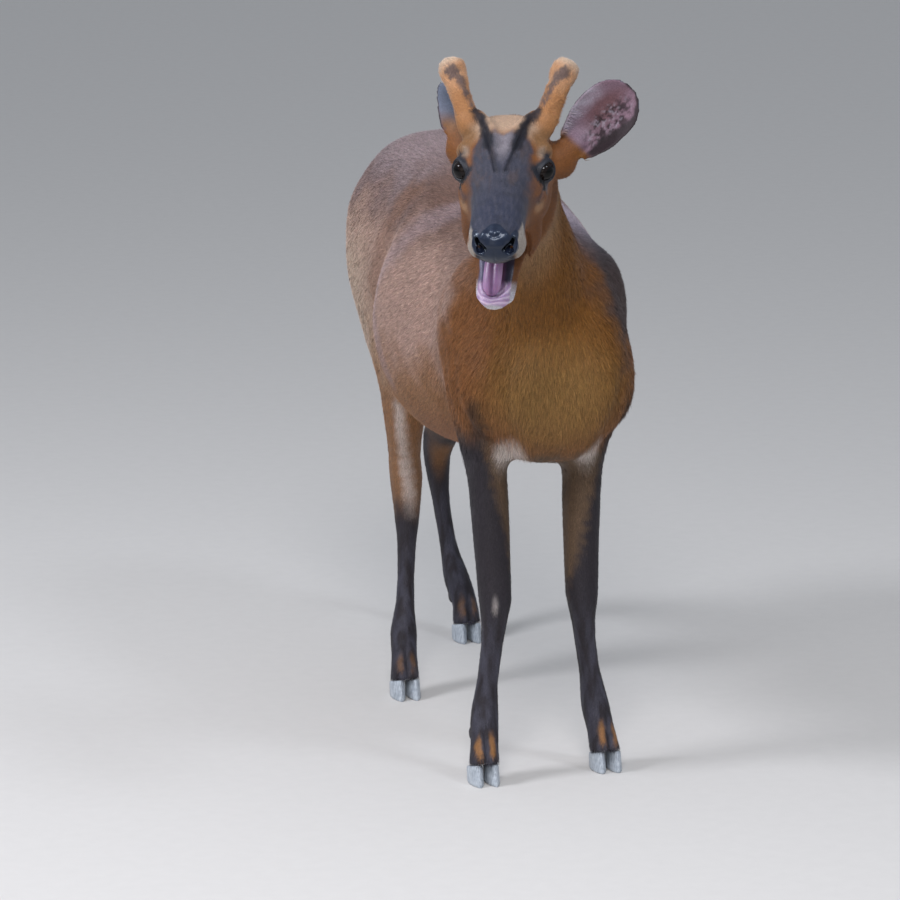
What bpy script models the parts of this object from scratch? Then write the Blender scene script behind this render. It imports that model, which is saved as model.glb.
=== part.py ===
"""A red muntjac buck standing still, life size, calling, with its antlers in velvet.

The deer faces -Y, its left side is +X, and its hooves stand on the floor at Z = 0.
Lengths are in metres. The body is modelled whole, and parted into its nodes by thin cuts.
"""
import math

import bmesh
import bpy
from mathutils import Matrix, Vector

GAP = 0.0003
SOCKET_ROOM = 0.0005
RING_SIDES = 28
BODY_VOXEL = 0.0045
HEAD_VOXEL = 0.0019

# Where each hoof stands, across (left is +) and along (back is +).
FORE_FOOT = {"right": (-0.066, -0.0095), "left": (0.066, 0.0095)}
HIND_FOOT = {"right": (-0.062, 0.333), "left": (0.062, 0.553)}
SIDES = {"right": -1, "left": 1}

# Heights of the joints that the legs are parted at.
CARPUS_HEIGHT = 0.180
HOCK_HEIGHT = 0.206

# The head turns to the deer's right, and its face slopes down from the eyes to the nose.
EYES_MIDDLE = Vector((-0.0890, -0.168, 0.648))
HEAD_TURN = math.radians(19.2)
FACE_SLOPE = math.radians(24)
JAW_OPEN = math.radians(27.6)
JAW_SWING = math.radians(3.6)
JAW_HINGE = (-0.045, -0.012)

EYE_RADIUS = 0.0128
EYE_SIDE = 0.0350
EYE_FORWARD = 0.003

TRIANGLES = {"body": 4300, "head": 3300}


def clear_scene():
    for obj in list(bpy.data.objects):
        bpy.data.objects.remove(obj)


def new_collection(name):
    collection = bpy.data.collections.new(name)
    bpy.context.scene.collection.children.link(collection)
    return collection


clear_scene()
DEER = new_collection("muntjac")
CUTTERS = new_collection("cutters")


def add_object(name, bm, collection=CUTTERS):
    """Makes an object of a bmesh, with its faces turned outwards."""
    bmesh.ops.recalc_face_normals(bm, faces=bm.faces)
    mesh = bpy.data.meshes.new(name)
    bm.to_mesh(mesh)
    bm.free()
    obj = bpy.data.objects.new(name, mesh)
    collection.objects.link(obj)
    return obj


def drop(*objects):
    for obj in objects:
        bpy.data.objects.remove(obj)


def settle(obj):
    """Applies an object's modifiers to its mesh."""
    graph = bpy.context.evaluated_depsgraph_get()
    mesh = bpy.data.meshes.new_from_object(obj.evaluated_get(graph))
    obj.modifiers.clear()
    obj.data = mesh
    return obj


def spline_rows(rows, steps=4):
    """Rows of numbers joined by a smooth curve through each row."""
    rows = [tuple(row) for row in rows]
    padded = [rows[0]] + rows + [rows[-1]]
    out = []
    for i in range(len(rows) - 1):
        p0, p1, p2, p3 = padded[i:i + 4]
        for step in range(steps):
            t = step / steps
            out.append(tuple(
                0.5 * (2 * b + (c - a) * t + (2 * a - 5 * b + 4 * c - d) * t * t
                       + (3 * b - a - 3 * c + d) * t ** 3)
                for a, b, c, d in zip(p0, p1, p2, p3)
            ))
    return out + [rows[-1]]


def ring(centre, side, up, half_side, reach_up, reach_down, power=2.0):
    """One closed section: a superellipse with its own reach above and below the centre."""
    points = []
    for i in range(RING_SIDES):
        angle = 2 * math.pi * i / RING_SIDES
        c = math.cos(angle)
        s = math.sin(angle)
        across = math.copysign(abs(c) ** (2 / power), c) * half_side
        reach = reach_up if s > 0 else reach_down
        along = math.copysign(abs(s) ** (2 / power), s) * reach
        points.append(centre + side * across + up * along)
    return points


def loft(name, rings):
    """A closed body through a row of rings with equal counts of points."""
    bm = bmesh.new()
    rows = [[bm.verts.new(point) for point in points] for points in rings]
    for low, high in zip(rows, rows[1:]):
        for i, vert in enumerate(low):
            j = (i + 1) % len(low)
            bm.faces.new((vert, low[j], high[j], high[i]))
    bm.faces.new(rows[0])
    bm.faces.new(rows[-1])
    return add_object(name, bm)


def tube(name, rows, power=2.0, steps=4):
    """A limb or other long form. A row is x, y, z, half side, half depth and turn in degrees."""
    rows = spline_rows(rows, steps)
    points = [Vector(row[:3]) for row in rows]
    rings = []
    for i, row in enumerate(rows):
        along = (points[min(i + 1, len(rows) - 1)] - points[max(i - 1, 0)]).normalized()
        turn = math.radians(row[5])
        side = Vector((math.cos(turn), -math.sin(turn), 0))
        side = (side - along * side.dot(along)).normalized()
        rings.append(ring(points[i], side, along.cross(side), row[3], row[4], row[4], power))
    return loft(name, rings)


def ball(name, centre, radii, tilt=(0, 0, 0), segments=24):
    """An ellipsoid. Its tilt is in degrees about X, Y and Z."""
    bm = bmesh.new()
    bmesh.ops.create_uvsphere(bm, u_segments=segments, v_segments=segments * 2 // 3, radius=1)
    turn = Matrix.Identity(3)
    for axis, angle in zip("XYZ", tilt):
        turn = Matrix.Rotation(math.radians(angle), 3, axis) @ turn
    for vert in bm.verts:
        vert.co = turn @ Vector(a * b for a, b in zip(vert.co, radii)) + Vector(centre)
    return add_object(name, bm)


def prism(name, outline, axis, low, high, grow=0.0):
    """An outline in two axes, drawn out along the third, and grown by a distance all round."""
    count = len(outline)
    area = sum(
        outline[i][0] * outline[(i + 1) % count][1] - outline[(i + 1) % count][0] * outline[i][1]
        for i in range(count)
    )
    facing = 1 if area > 0 else -1
    corners = []
    for i in range(count):
        here = Vector(outline[i])
        before = (here - Vector(outline[i - 1])).normalized()
        after = (Vector(outline[(i + 1) % count]) - here).normalized()
        normal_before = Vector((before.y, -before.x)) * facing
        normal_after = Vector((after.y, -after.x)) * facing
        corners.append(here + (normal_before + normal_after) * grow / (1 + normal_before.dot(normal_after)))
    rings = []
    for level in (low - grow, high + grow):
        points = []
        for corner in corners:
            point = list(corner)
            point.insert("XYZ".index(axis), level)
            points.append(Vector(point))
        rings.append(points)
    return loft(name, rings)


def join(name, pieces):
    """Puts the meshes of several pieces into one object, still as separate shells."""
    bm = bmesh.new()
    for piece in pieces:
        mesh = piece.data.copy()
        mesh.transform(piece.matrix_world)
        bm.from_mesh(mesh)
        bpy.data.meshes.remove(mesh)
    mesh = bpy.data.meshes.new(name)
    bm.to_mesh(mesh)
    bm.free()
    drop(*pieces)
    obj = bpy.data.objects.new(name, mesh)
    CUTTERS.objects.link(obj)
    return obj


def melt(name, pieces, voxel):
    """Melts overlapping pieces into one closed skin of small squares."""
    obj = join(name, pieces)
    remesh = obj.modifiers.new("melt", "REMESH")
    remesh.mode = "VOXEL"
    remesh.voxel_size = voxel
    return settle(obj)


def soften(obj, rounds, weight=None):
    """Smooths a skin. Where weight is given, it says how much at each point, from 0 to 1."""
    smooth = obj.modifiers.new("soften", "SMOOTH")
    smooth.factor = 0.5
    smooth.iterations = rounds
    if weight:
        group = obj.vertex_groups.new(name="soft")
        for vert in obj.data.vertices:
            group.add([vert.index], min(1.0, max(0.0, weight(vert.co))), "REPLACE")
        smooth.vertex_group = "soft"
    return settle(obj)


def thin_out(obj, triangles):
    """Brings a skin down to a count of triangles, with fewer where it is flatter."""
    have = sum(len(polygon.vertices) - 2 for polygon in obj.data.polygons)
    decimate = obj.modifiers.new("thin_out", "DECIMATE")
    decimate.ratio = min(1.0, triangles / have)
    decimate.use_collapse_triangulate = True
    return settle(obj)


def boolean(obj, cutter, operation):
    cut = obj.modifiers.new("cut", "BOOLEAN")
    cut.operation = operation
    cut.object = cutter
    return keep_largest(settle(obj))


def keep_largest(obj):
    """Leaves only the largest closed surface of an object."""
    bm = bmesh.new()
    bm.from_mesh(obj.data)
    left = set(bm.verts)
    shells = []
    while left:
        stack = [left.pop()]
        shell = set(stack)
        while stack:
            for edge in stack.pop().link_edges:
                for vert in edge.verts:
                    if vert not in shell:
                        shell.add(vert)
                        stack.append(vert)
        left -= shell
        shells.append(shell)
    largest = max(shells, key=len)
    scraps = [vert for vert in bm.verts if vert not in largest]
    bmesh.ops.delete(bm, geom=scraps, context="VERTS")
    bmesh.ops.dissolve_degenerate(bm, dist=1e-6, edges=bm.edges)
    bm.to_mesh(obj.data)
    bm.free()
    return obj


def copy_of(obj, name):
    twin = bpy.data.objects.new(name, obj.data.copy())
    CUTTERS.objects.link(twin)
    return twin


def bisected(obj, name, point, normal):
    """The part of an object on the far side of a plane, closed by a flat face."""
    normal = Vector(normal).normalized()
    bm = bmesh.new()
    bm.from_mesh(obj.data)
    geometry = bm.verts[:] + bm.edges[:] + bm.faces[:]
    cut = bmesh.ops.bisect_plane(
        bm, geom=geometry, dist=1e-7, plane_co=Vector(point) + normal * GAP / 2,
        plane_no=normal, clear_inner=True,
    )
    edges = [item for item in cut["geom_cut"] if isinstance(item, bmesh.types.BMEdge)]
    bmesh.ops.holes_fill(bm, edges=edges, sides=0)
    return keep_largest(add_object(name, bm))


def part_in_two(obj, name_inside, point, normal):
    """Parts an object at a plane. The far side gets the new name, the near side keeps the old."""
    far = bisected(obj, name_inside, point, normal)
    near = bisected(obj, obj.name + "_rest", point, -Vector(normal))
    old_name = obj.name
    drop(obj)
    near.name = old_name
    return near, far


def grown(obj, distance):
    """A copy of an object whose surface stands further out, for cutting its socket."""
    twin = copy_of(obj, obj.name + "_grown")
    push = twin.modifiers.new("grow", "DISPLACE")
    push.mid_level = 0
    push.strength = distance
    return settle(twin)


def socket(holder, plug):
    """Cuts room in the holder for a piece that sits in it."""
    cutter = grown(plug, SOCKET_ROOM)
    boolean(holder, cutter, "DIFFERENCE")
    drop(cutter)


def finish_node(obj, colour, roughness=0.8, metallic=0.0):
    """Names the mesh and material of a finished node, and puts it with the deer."""
    name = obj.name
    material = bpy.data.materials.new(name)
    material.use_nodes = True
    shader = material.node_tree.nodes["Principled BSDF"]
    shader.inputs["Base Color"].default_value = (*colour, 1)
    shader.inputs["Roughness"].default_value = roughness
    shader.inputs["Metallic"].default_value = metallic
    material.diffuse_color = (*colour, 1)
    triangulate = bmesh.new()
    triangulate.from_mesh(obj.data)
    bmesh.ops.triangulate(triangulate, faces=triangulate.faces)
    triangulate.to_mesh(obj.data)
    triangulate.free()
    obj.data.materials.clear()
    obj.data.materials.append(material)
    obj.data.shade_smooth()
    obj.data.set_sharp_from_angle(angle=math.radians(40))
    obj.data.name = name
    CUTTERS.objects.unlink(obj)
    DEER.objects.link(obj)


# Colours of the coat and the bare parts, linear.
CHESTNUT = (0.21, 0.095, 0.05)
OCHRE = (0.27, 0.13, 0.04)
SLATE = (0.05, 0.045, 0.055)
DARK_LEG = (0.045, 0.03, 0.028)
HORN_GREY = (0.16, 0.18, 0.22)
VELVET = (0.36, 0.21, 0.11)
EAR_PINK = (0.22, 0.12, 0.13)
EYE_BLACK = (0.004, 0.004, 0.006)
NOSE_BLACK = (0.012, 0.014, 0.02)
TONGUE_PINK = (0.5, 0.2, 0.26)


# Torso: along, centre across, top, widest level, bottom, half width, squareness of the section.
TORSO_STATIONS = [
    (-0.076, 0.002, 0.452, 0.415, 0.385, 0.030, 2.0),
    (-0.068, 0.002, 0.475, 0.415, 0.362, 0.052, 2.0),
    (-0.045, 0.003, 0.510, 0.415, 0.336, 0.070, 2.0),
    (-0.010, 0.004, 0.545, 0.420, 0.320, 0.080, 2.0),
    (0.040, 0.005, 0.567, 0.425, 0.313, 0.088, 2.0),
    (0.090, 0.004, 0.574, 0.425, 0.307, 0.096, 2.0),
    (0.150, 0.002, 0.577, 0.420, 0.299, 0.109, 2.1),
    (0.220, 0.000, 0.583, 0.415, 0.295, 0.117, 2.2),
    (0.275, 0.000, 0.590, 0.415, 0.302, 0.112, 2.2),
    (0.320, 0.000, 0.596, 0.435, 0.320, 0.099, 2.2),
    (0.360, 0.000, 0.599, 0.450, 0.340, 0.096, 2.4),
    (0.410, 0.000, 0.596, 0.468, 0.372, 0.097, 2.7),
    (0.460, 0.000, 0.580, 0.478, 0.405, 0.087, 2.6),
    (0.500, 0.000, 0.552, 0.475, 0.425, 0.064, 2.3),
    (0.522, 0.000, 0.522, 0.475, 0.445, 0.034, 2.0),
]

# Neck: x, y, z, half side, half depth, turn.
NECK_STATIONS = [
    (0.002, 0.074, 0.440, 0.062, 0.122, 0),
    (-0.005, 0.020, 0.485, 0.051, 0.101, 3),
    (-0.019, -0.027, 0.530, 0.0455, 0.077, 8),
    (-0.037, -0.059, 0.575, 0.0390, 0.063, 13),
    (-0.050, -0.082, 0.616, 0.0385, 0.054, 17),
    (-0.062, -0.100, 0.650, 0.0380, 0.047, 19),
    (-0.070, -0.114, 0.670, 0.0280, 0.026, 19),
]

# Foreleg above its foot: x, y, z, half side, half depth. The side is mirrored for the right leg.
FORELEG_STATIONS = [
    (0.062, 0.028, 0.410, 0.036, 0.052),
    (0.058, 0.034, 0.350, 0.027, 0.040),
    (0.053, 0.031, 0.305, 0.0215, 0.029),
    (0.051, 0.024, 0.250, 0.0190, 0.0225),
    (0.050, 0.018, 0.205, 0.0180, 0.0190),
    (0.050, 0.014, 0.180, 0.0170, 0.0185),
    (0.0515, 0.015, 0.155, 0.0132, 0.0155),
    (0.054, 0.017, 0.125, 0.0115, 0.0135),
    (0.058, 0.018, 0.092, 0.0120, 0.0135),
    (0.061, 0.016, 0.066, 0.0150, 0.0170),
    (0.0635, 0.007, 0.042, 0.0150, 0.0145),
    (0.0655, 0.000, 0.022, 0.0160, 0.0180),
    (0.0660, -0.002, 0.008, 0.0160, 0.0180),
]

# How much further in than its stations a foreleg stands, from the knee up.
KNEE_IN = {"right": 0.0, "left": 0.0075}

# Hind legs: x, y, z, half side, half depth. The left one reaches back.
HINDLEG_STATIONS = {
    "right": [
        (0.050, 0.425, 0.515, 0.050, 0.085),
        (0.055, 0.408, 0.455, 0.048, 0.098),
        (0.053, 0.388, 0.398, 0.039, 0.086),
        (0.053, 0.368, 0.348, 0.032, 0.062),
        (0.054, 0.372, 0.298, 0.0225, 0.040),
        (0.051, 0.383, 0.258, 0.0175, 0.027),
        (0.048, 0.387, 0.226, 0.0175, 0.026),
        (0.048, 0.383, 0.196, 0.0150, 0.0200),
        (0.051, 0.373, 0.150, 0.0105, 0.0140),
        (0.055, 0.363, 0.100, 0.0105, 0.0135),
        (0.059, 0.354, 0.066, 0.0150, 0.0172),
        (0.061, 0.343, 0.042, 0.0148, 0.0145),
        (0.062, 0.337, 0.022, 0.0160, 0.0180),
        (0.062, 0.335, 0.008, 0.0160, 0.0180),
    ],
    "left": [
        (0.050, 0.428, 0.515, 0.050, 0.085),
        (0.055, 0.424, 0.455, 0.048, 0.098),
        (0.051, 0.424, 0.398, 0.039, 0.087),
        (0.046, 0.437, 0.348, 0.032, 0.062),
        (0.041, 0.473, 0.298, 0.0225, 0.040),
        (0.037, 0.530, 0.258, 0.0175, 0.028),
        (0.036, 0.573, 0.229, 0.0175, 0.026),
        (0.037, 0.590, 0.198, 0.0150, 0.0200),
        (0.042, 0.591, 0.150, 0.0105, 0.0140),
        (0.049, 0.585, 0.100, 0.0105, 0.0135),
        (0.055, 0.573, 0.066, 0.0150, 0.0172),
        (0.061, 0.562, 0.042, 0.0148, 0.0145),
        (0.062, 0.557, 0.022, 0.0160, 0.0180),
        (0.062, 0.555, 0.008, 0.0160, 0.0180),
    ],
}


def torso_form():
    rings = []
    for along, across, top, middle, bottom, half, power in spline_rows(TORSO_STATIONS):
        centre = Vector((across, along, middle))
        rings.append(ring(centre, Vector((1, 0, 0)), Vector((0, 0, 1)), half, top - middle,
                          middle - bottom, power))
    return loft("torso_form", rings)


def neck_form():
    return tube("neck_form", NECK_STATIONS)


def foreleg_form(side):
    """A foreleg whose foot stands in its own place and whose elbow stays at the chest."""
    sign = SIDES[side]
    foot_along = FORE_FOOT[side][1]
    rows = []
    for x, y, z, half_side, half_depth in FORELEG_STATIONS:
        foot_share = max(0.0, 1 - z / 0.35)
        knee_share = min(1.0, z / 0.16)
        rows.append((sign * (x - KNEE_IN[side] * knee_share), y + foot_along * foot_share, z,
                     half_side, half_depth, 0))
    return tube("foreleg_form_" + side, rows, 2.2)


def hindleg_form(side):
    sign = SIDES[side]
    rows = [(sign * x, y, z, half_side, half_depth, 0)
            for x, y, z, half_side, half_depth in HINDLEG_STATIONS[side]]
    return tube("hindleg_form_" + side, rows, 2.1)


def muscles(side):
    """Shoulder blade, upper arm, elbow, haunch and point of the hock, as swellings."""
    sign = SIDES[side]
    hock = next(row for row in HINDLEG_STATIONS[side] if 0.22 < row[2] < 0.23)
    return [
        ball("blade", (sign * 0.0610, 0.055, 0.452), (0.0365, 0.052, 0.086), (24, 0, 0)),
        ball("upper_arm", (sign * 0.0625, 0.014, 0.408), (0.031, 0.054, 0.060), (-30, 0, 0)),
        ball("triceps", (sign * 0.059, 0.055, 0.392), (0.031, 0.042, 0.056), (20, 0, 0)),
        ball("elbow", (sign * 0.056, 0.064, 0.345), (0.012, 0.013, 0.020)),
        ball("breast", (sign * 0.030, -0.046, 0.405), (0.034, 0.032, 0.052), (20, 0, 0)),
        ball("haunch", (sign * 0.054, 0.425, 0.480), (0.0495, 0.074, 0.082), (-15, 0, 0)),
        ball("hock_point", (sign * hock[0], hock[1] + 0.020, 0.246), (0.009, 0.010, 0.020), (8, 0, 0)),
    ]


def body_skin():
    """Torso, neck and legs melted into one skin, softer on the trunk than on the legs."""
    pieces = [torso_form(), neck_form()]
    for side in SIDES:
        pieces += [foreleg_form(side), hindleg_form(side), *muscles(side)]
    skin = melt("torso", pieces, BODY_VOXEL)
    soften(skin, 2)
    soften(skin, 16, lambda point: (point.z - 0.28) / 0.10)
    return thin_out(skin, TRIANGLES["body"])


# Regions of the legs. The fore ones are outlines across and up, the hind ones along and up.
FORELEG_REGION = [(0.016, -0.02), (0.016, 0.330), (0.14, 0.385), (0.14, -0.02)]
FORELEG_REGION_ALONG = (-0.12, 0.080)
HINDLEG_REGION = {
    "right": [(0.26, -0.02), (0.26, 0.25), (0.318, 0.30), (0.300, 0.36), (0.345, 0.445), (0.50, 0.500),
              (0.62, 0.500), (0.62, -0.02)],
    "left": [(0.46, -0.02), (0.46, 0.19), (0.365, 0.30), (0.345, 0.36), (0.365, 0.445), (0.50, 0.500),
             (0.68, 0.500), (0.68, -0.02)],
}
HINDLEG_REGION_ACROSS = (0.004, 0.16)


def leg_region(kind, side, grow):
    sign = SIDES[side]
    if kind == "foreleg":
        outline = [(sign * x, z) for x, z in FORELEG_REGION]
        return prism("region", outline, "Y", *FORELEG_REGION_ALONG, grow)
    low, high = sorted(sign * x for x in HINDLEG_REGION_ACROSS)
    return prism("region", HINDLEG_REGION[side], "X", low, high, grow)


def part_legs(torso):
    """Parts the four legs from the torso, and each of them at its knee or hock."""
    legs = {}
    for kind, height in (("foreleg", CARPUS_HEIGHT), ("hindleg", HOCK_HEIGHT)):
        for side in SIDES:
            region = leg_region(kind, side, 0.0)
            leg = boolean(copy_of(torso, f"{kind}_{side}_upper"), region, "INTERSECT")
            room = leg_region(kind, side, GAP)
            boolean(torso, room, "DIFFERENCE")
            drop(region, room)
            upper, lower = part_in_two(leg, f"{kind}_{side}_lower", (0, 0, height), (0, 0, -1))
            legs[kind, side] = (upper, lower)
    return legs


# A claw: lengths from heel to tip, and the slope of the coronet where the hair ends.
CLAW_LENGTH = 0.040
CLAW_WIDTH = 0.0150
CLAW_SPACE = 0.0016
CORONET_FRONT = 0.024
CORONET_BACK = 0.014
CLAW_SIDES = 12


def claw(name, foot, inner_sign):
    """One half of a cloven hoof: flat sole, upright wall, blunt tip and a sloping top."""
    foot_x, foot_y = foot
    rings = []
    for level in (0.0, 0.35, 0.7, 1.0):
        points = []
        for i in range(CLAW_SIDES):
            angle = 2 * math.pi * i / CLAW_SIDES
            forward = math.cos(angle)
            across = math.sin(angle)
            taper = 1 - 0.42 * max(0.0, forward) ** 2
            reach = CLAW_LENGTH / 2 * (1 - 0.18 * level if forward > 0 else 1 - 0.10 * level)
            y = foot_y - forward * reach + 0.004 * level
            x = foot_x + inner_sign * (CLAW_SPACE / 2 + CLAW_WIDTH / 2 * (1 + across * taper))
            share = (foot_y + CLAW_LENGTH / 2 - y) / CLAW_LENGTH
            top = CORONET_BACK + (CORONET_FRONT - CORONET_BACK) * share
            points.append(Vector((x, y, level * (top - GAP))))
        rings.append(points)
    obj = loft(name, rings)
    return obj


def coronet_plane(foot):
    """The sloping plane at which the hair of a leg ends on its hoof."""
    foot_x, foot_y = foot
    slope = (CORONET_FRONT - CORONET_BACK) / CLAW_LENGTH
    point = Vector((foot_x, foot_y, (CORONET_FRONT + CORONET_BACK) / 2))
    return point, Vector((0, slope, 1)).normalized()


def feet(legs):
    """Hooves under the legs, and the small dewclaws behind the pasterns."""
    for (kind, side), (upper, lower) in legs.items():
        foot = (FORE_FOOT if kind == "foreleg" else HIND_FOOT)[side]
        place = "fore" if kind == "foreleg" else "hind"
        point, normal = coronet_plane(foot)
        trimmed = bisected(lower, "trimmed", point, normal)
        name = lower.name
        drop(lower)
        trimmed.name = name
        for inner_sign, half in ((-SIDES[side], "inner"), (SIDES[side], "outer")):
            finish_node(claw(f"hoof_{place}_{side}_{half}", foot, inner_sign), HORN_GREY, 0.45)
            dew = ball(
                f"dewclaw_{place}_{side}_{half}",
                (foot[0] - SIDES[side] * 0.003 + inner_sign * 0.0085, foot[1] + 0.0235, 0.045),
                (0.0045, 0.0052, 0.0085), (-30, 0, 0), 8,
            )
            socket(trimmed, dew)
            finish_node(dew, DARK_LEG, 0.5)
        finish_node(trimmed, DARK_LEG)
        finish_node(upper, CHESTNUT)


# Tail: x, y, z, half side, half depth.
TAIL_STATIONS = [
    (0.000, 0.494, 0.530, 0.016, 0.014, 0),
    (0.000, 0.519, 0.521, 0.018, 0.013, 0),
    (0.000, 0.534, 0.495, 0.021, 0.0115, 0),
    (0.000, 0.540, 0.460, 0.023, 0.0105, 0),
    (0.000, 0.541, 0.420, 0.022, 0.0095, 0),
    (0.000, 0.539, 0.385, 0.017, 0.0075, 0),
    (0.000, 0.536, 0.360, 0.008, 0.0045, 0),
]


def tail(torso, legs):
    obj = thin_out(melt("tail", [tube("tail_form", TAIL_STATIONS)], 0.004), 300)
    for holder in (torso, legs["hindleg", "left"][0], legs["hindleg", "right"][0]):
        socket(holder, obj)
    finish_node(obj, CHESTNUT)


def head_frame():
    """Turns the head's own axes (left, back, up) into the deer's."""
    turn = Matrix.Rotation(-HEAD_TURN, 4, "Z") @ Matrix.Rotation(FACE_SLOPE, 4, "X")
    return Matrix.Translation(EYES_MIDDLE) @ turn


# Skull and upper jaw in the head's own axes: forward of the eyes, half width, top, widest, bottom.
SKULL_STATIONS = [
    (-0.082, 0.024, 0.002, -0.014, -0.036),
    (-0.068, 0.035, 0.016, -0.012, -0.050),
    (-0.046, 0.042, 0.026, -0.012, -0.056),
    (-0.020, 0.044, 0.031, -0.014, -0.056),
    (0.002, 0.0420, 0.029, -0.016, -0.055),
    (0.022, 0.0370, 0.024, -0.018, -0.050),
    (0.042, 0.0305, 0.0195, -0.016, -0.044),
    (0.062, 0.0270, 0.0165, -0.012, -0.038),
    (0.082, 0.0260, 0.0145, -0.008, -0.034),
    (0.100, 0.0265, 0.0130, -0.008, -0.031),
    (0.114, 0.0245, 0.0095, -0.009, -0.029),
    (0.123, 0.0190, 0.0020, -0.010, -0.025),
    (0.127, 0.0100, -0.0050, -0.010, -0.018),
]

# Lower jaw with the mouth shut: forward of the eyes, half width, top, bottom.
JAW_STATIONS = [
    (-0.056, 0.026, -0.018, -0.052),
    (-0.036, 0.034, -0.020, -0.064),
    (-0.010, 0.034, -0.026, -0.064),
    (0.020, 0.0290, -0.031, -0.059),
    (0.048, 0.0240, -0.034, -0.054),
    (0.072, 0.0205, -0.034, -0.052),
    (0.090, 0.0195, -0.033, -0.053),
    (0.104, 0.0180, -0.032, -0.051),
    (0.113, 0.0120, -0.034, -0.047),
]


def head_point(side, forward, up):
    return Vector((side, -forward, up))


def jaw_point(side, forward, up):
    """A place on the jaw, given with the mouth shut and returned with it open and swung to the right."""
    hinge_forward, hinge_up = JAW_HINGE
    f = forward - hinge_forward
    u = up - hinge_up
    c = math.cos(JAW_OPEN)
    s = math.sin(JAW_OPEN)
    ahead = f * c + u * s
    aside = side * math.cos(JAW_SWING) - ahead * math.sin(JAW_SWING)
    ahead = side * math.sin(JAW_SWING) + ahead * math.cos(JAW_SWING)
    return head_point(aside, hinge_forward + ahead, hinge_up - f * s + u * c)


def skull_form():
    rings = []
    for forward, half, top, middle, bottom in spline_rows(SKULL_STATIONS):
        centre = head_point(0, forward, middle)
        rings.append(ring(centre, Vector((1, 0, 0)), Vector((0, 0, 1)), half, top - middle,
                          middle - bottom, 2.5))
    return loft("skull_form", rings)


def jaw_form():
    rings = []
    up = jaw_point(0, 0, 1) - jaw_point(0, 0, 0)
    for forward, half, top, bottom in spline_rows(JAW_STATIONS):
        middle = (top + bottom) / 2
        centre = jaw_point(0, forward, middle)
        rings.append(ring(centre, Vector((1, 0, 0)), up, half, top - middle, middle - bottom, 2.6))
    return loft("jaw_form", rings)


def head_ball(name, side, forward, up, radii, tilt=(0, 0, 0)):
    return ball(name, head_point(side, forward, up), radii, tilt)


def eye_place(sign):
    return head_point(sign * EYE_SIDE, EYE_FORWARD, 0.0)


def eye_facing(sign):
    """The way an eye looks: out to its side, somewhat forward and a little up."""
    return Vector((sign * 0.72, -0.64, 0.26)).normalized()


def lid_ring(sign):
    """The rim of the lids round an eye."""
    bm = bmesh.new()
    facing = eye_facing(sign)
    turn = facing.to_track_quat("Z", "Y").to_matrix()
    centre = eye_place(sign) + facing * 0.0058
    rim = 0.0105
    thick = 0.0036
    rings = 24
    sides = 8
    verts = []
    for i in range(rings):
        around = 2 * math.pi * i / rings
        for j in range(sides):
            about = 2 * math.pi * j / sides
            reach = rim + thick * math.cos(about)
            local = Vector((reach * math.cos(around), reach * math.sin(around), thick * math.sin(about)))
            verts.append(bm.verts.new(centre + turn @ local))
    for i in range(rings):
        for j in range(sides):
            a = i * sides + j
            b = i * sides + (j + 1) % sides
            c = ((i + 1) % rings) * sides + (j + 1) % sides
            d = ((i + 1) % rings) * sides + j
            bm.faces.new((verts[a], verts[b], verts[c], verts[d]))
    return add_object("lid_ring", bm)


# Middle of the swelling under each ear, across, forward and up of the eyes.
EAR_ROOTS = {1: (0.0500, -0.050, -0.023), -1: (-0.0440, -0.052, -0.014)}


def face_details(sign):
    """Brow, cheek, jaw muscle, frontal ridge and the wing of the nose on one side."""
    ridge = [
        (sign * 0.006, -0.004, 0.0265, 0.0042, 0.0042, 0),
        (sign * 0.010, 0.014, 0.0305, 0.0048, 0.0048, 0),
        (sign * 0.018, 0.032, 0.0310, 0.0055, 0.0055, 0),
        (sign * 0.028, 0.048, 0.0290, 0.0065, 0.0065, 0),
    ]
    return [
        lid_ring(sign),
        head_ball("brow", sign * 0.034, -0.008, 0.011, (0.0125, 0.020, 0.009), (0, sign * 20, sign * -12)),
        head_ball("jaw_muscle", sign * 0.029, -0.022, -0.038, (0.015, 0.034, 0.026), (20, 0, 0)),
        head_ball("muzzle_side", sign * 0.0165, 0.098, -0.018, (0.0120, 0.022, 0.0135)),
        head_ball("nose_wing", sign * 0.0140, 0.117, -0.011, (0.0092, 0.0105, 0.0120)),
        head_ball("ear_root", *EAR_ROOTS[sign], (0.0170, 0.020, 0.0195)),
        tube("frontal_ridge", ridge),
    ]


def cheek_web(sign):
    """The skin of the cheek, drawn between the open jaws behind the corner of the mouth."""
    rows = []
    for share in (0.0, 0.25, 0.5, 0.75, 1.0):
        forward = 0.010 + 0.036 * share
        top = head_point(sign * (0.033 - 0.006 * share), forward, -0.034 + 0.002 * share)
        low = jaw_point(sign * (0.029 - 0.004 * share), forward + 0.004, -0.040)
        middle = (top + low) / 2
        rows.append((*middle, 0.0055, (top - low).length / 2 + 0.004, 0))
    return tube("cheek_web", rows)


def nose_form():
    return [
        head_ball("nose_top", 0, 0.118, -0.003, (0.0150, 0.0110, 0.0115)),
        head_ball("nose_front", 0, 0.121, -0.012, (0.0170, 0.0085, 0.0120)),
        head_ball("upper_lip", 0, 0.111, -0.022, (0.0190, 0.0130, 0.0095)),
    ]


# Hollow of the mouth: forward of the eyes, half width, height of the palate, and of the floor
# with the mouth shut.
MOUTH_STATIONS = [
    (0.004, 0.006, -0.040, -0.036),
    (0.020, 0.012, -0.040, -0.036),
    (0.045, 0.0165, -0.037, -0.036),
    (0.070, 0.0165, -0.031, -0.0365),
    (0.092, 0.0155, -0.027, -0.0365),
    (0.103, 0.0120, -0.025, -0.0355),
]


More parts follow.
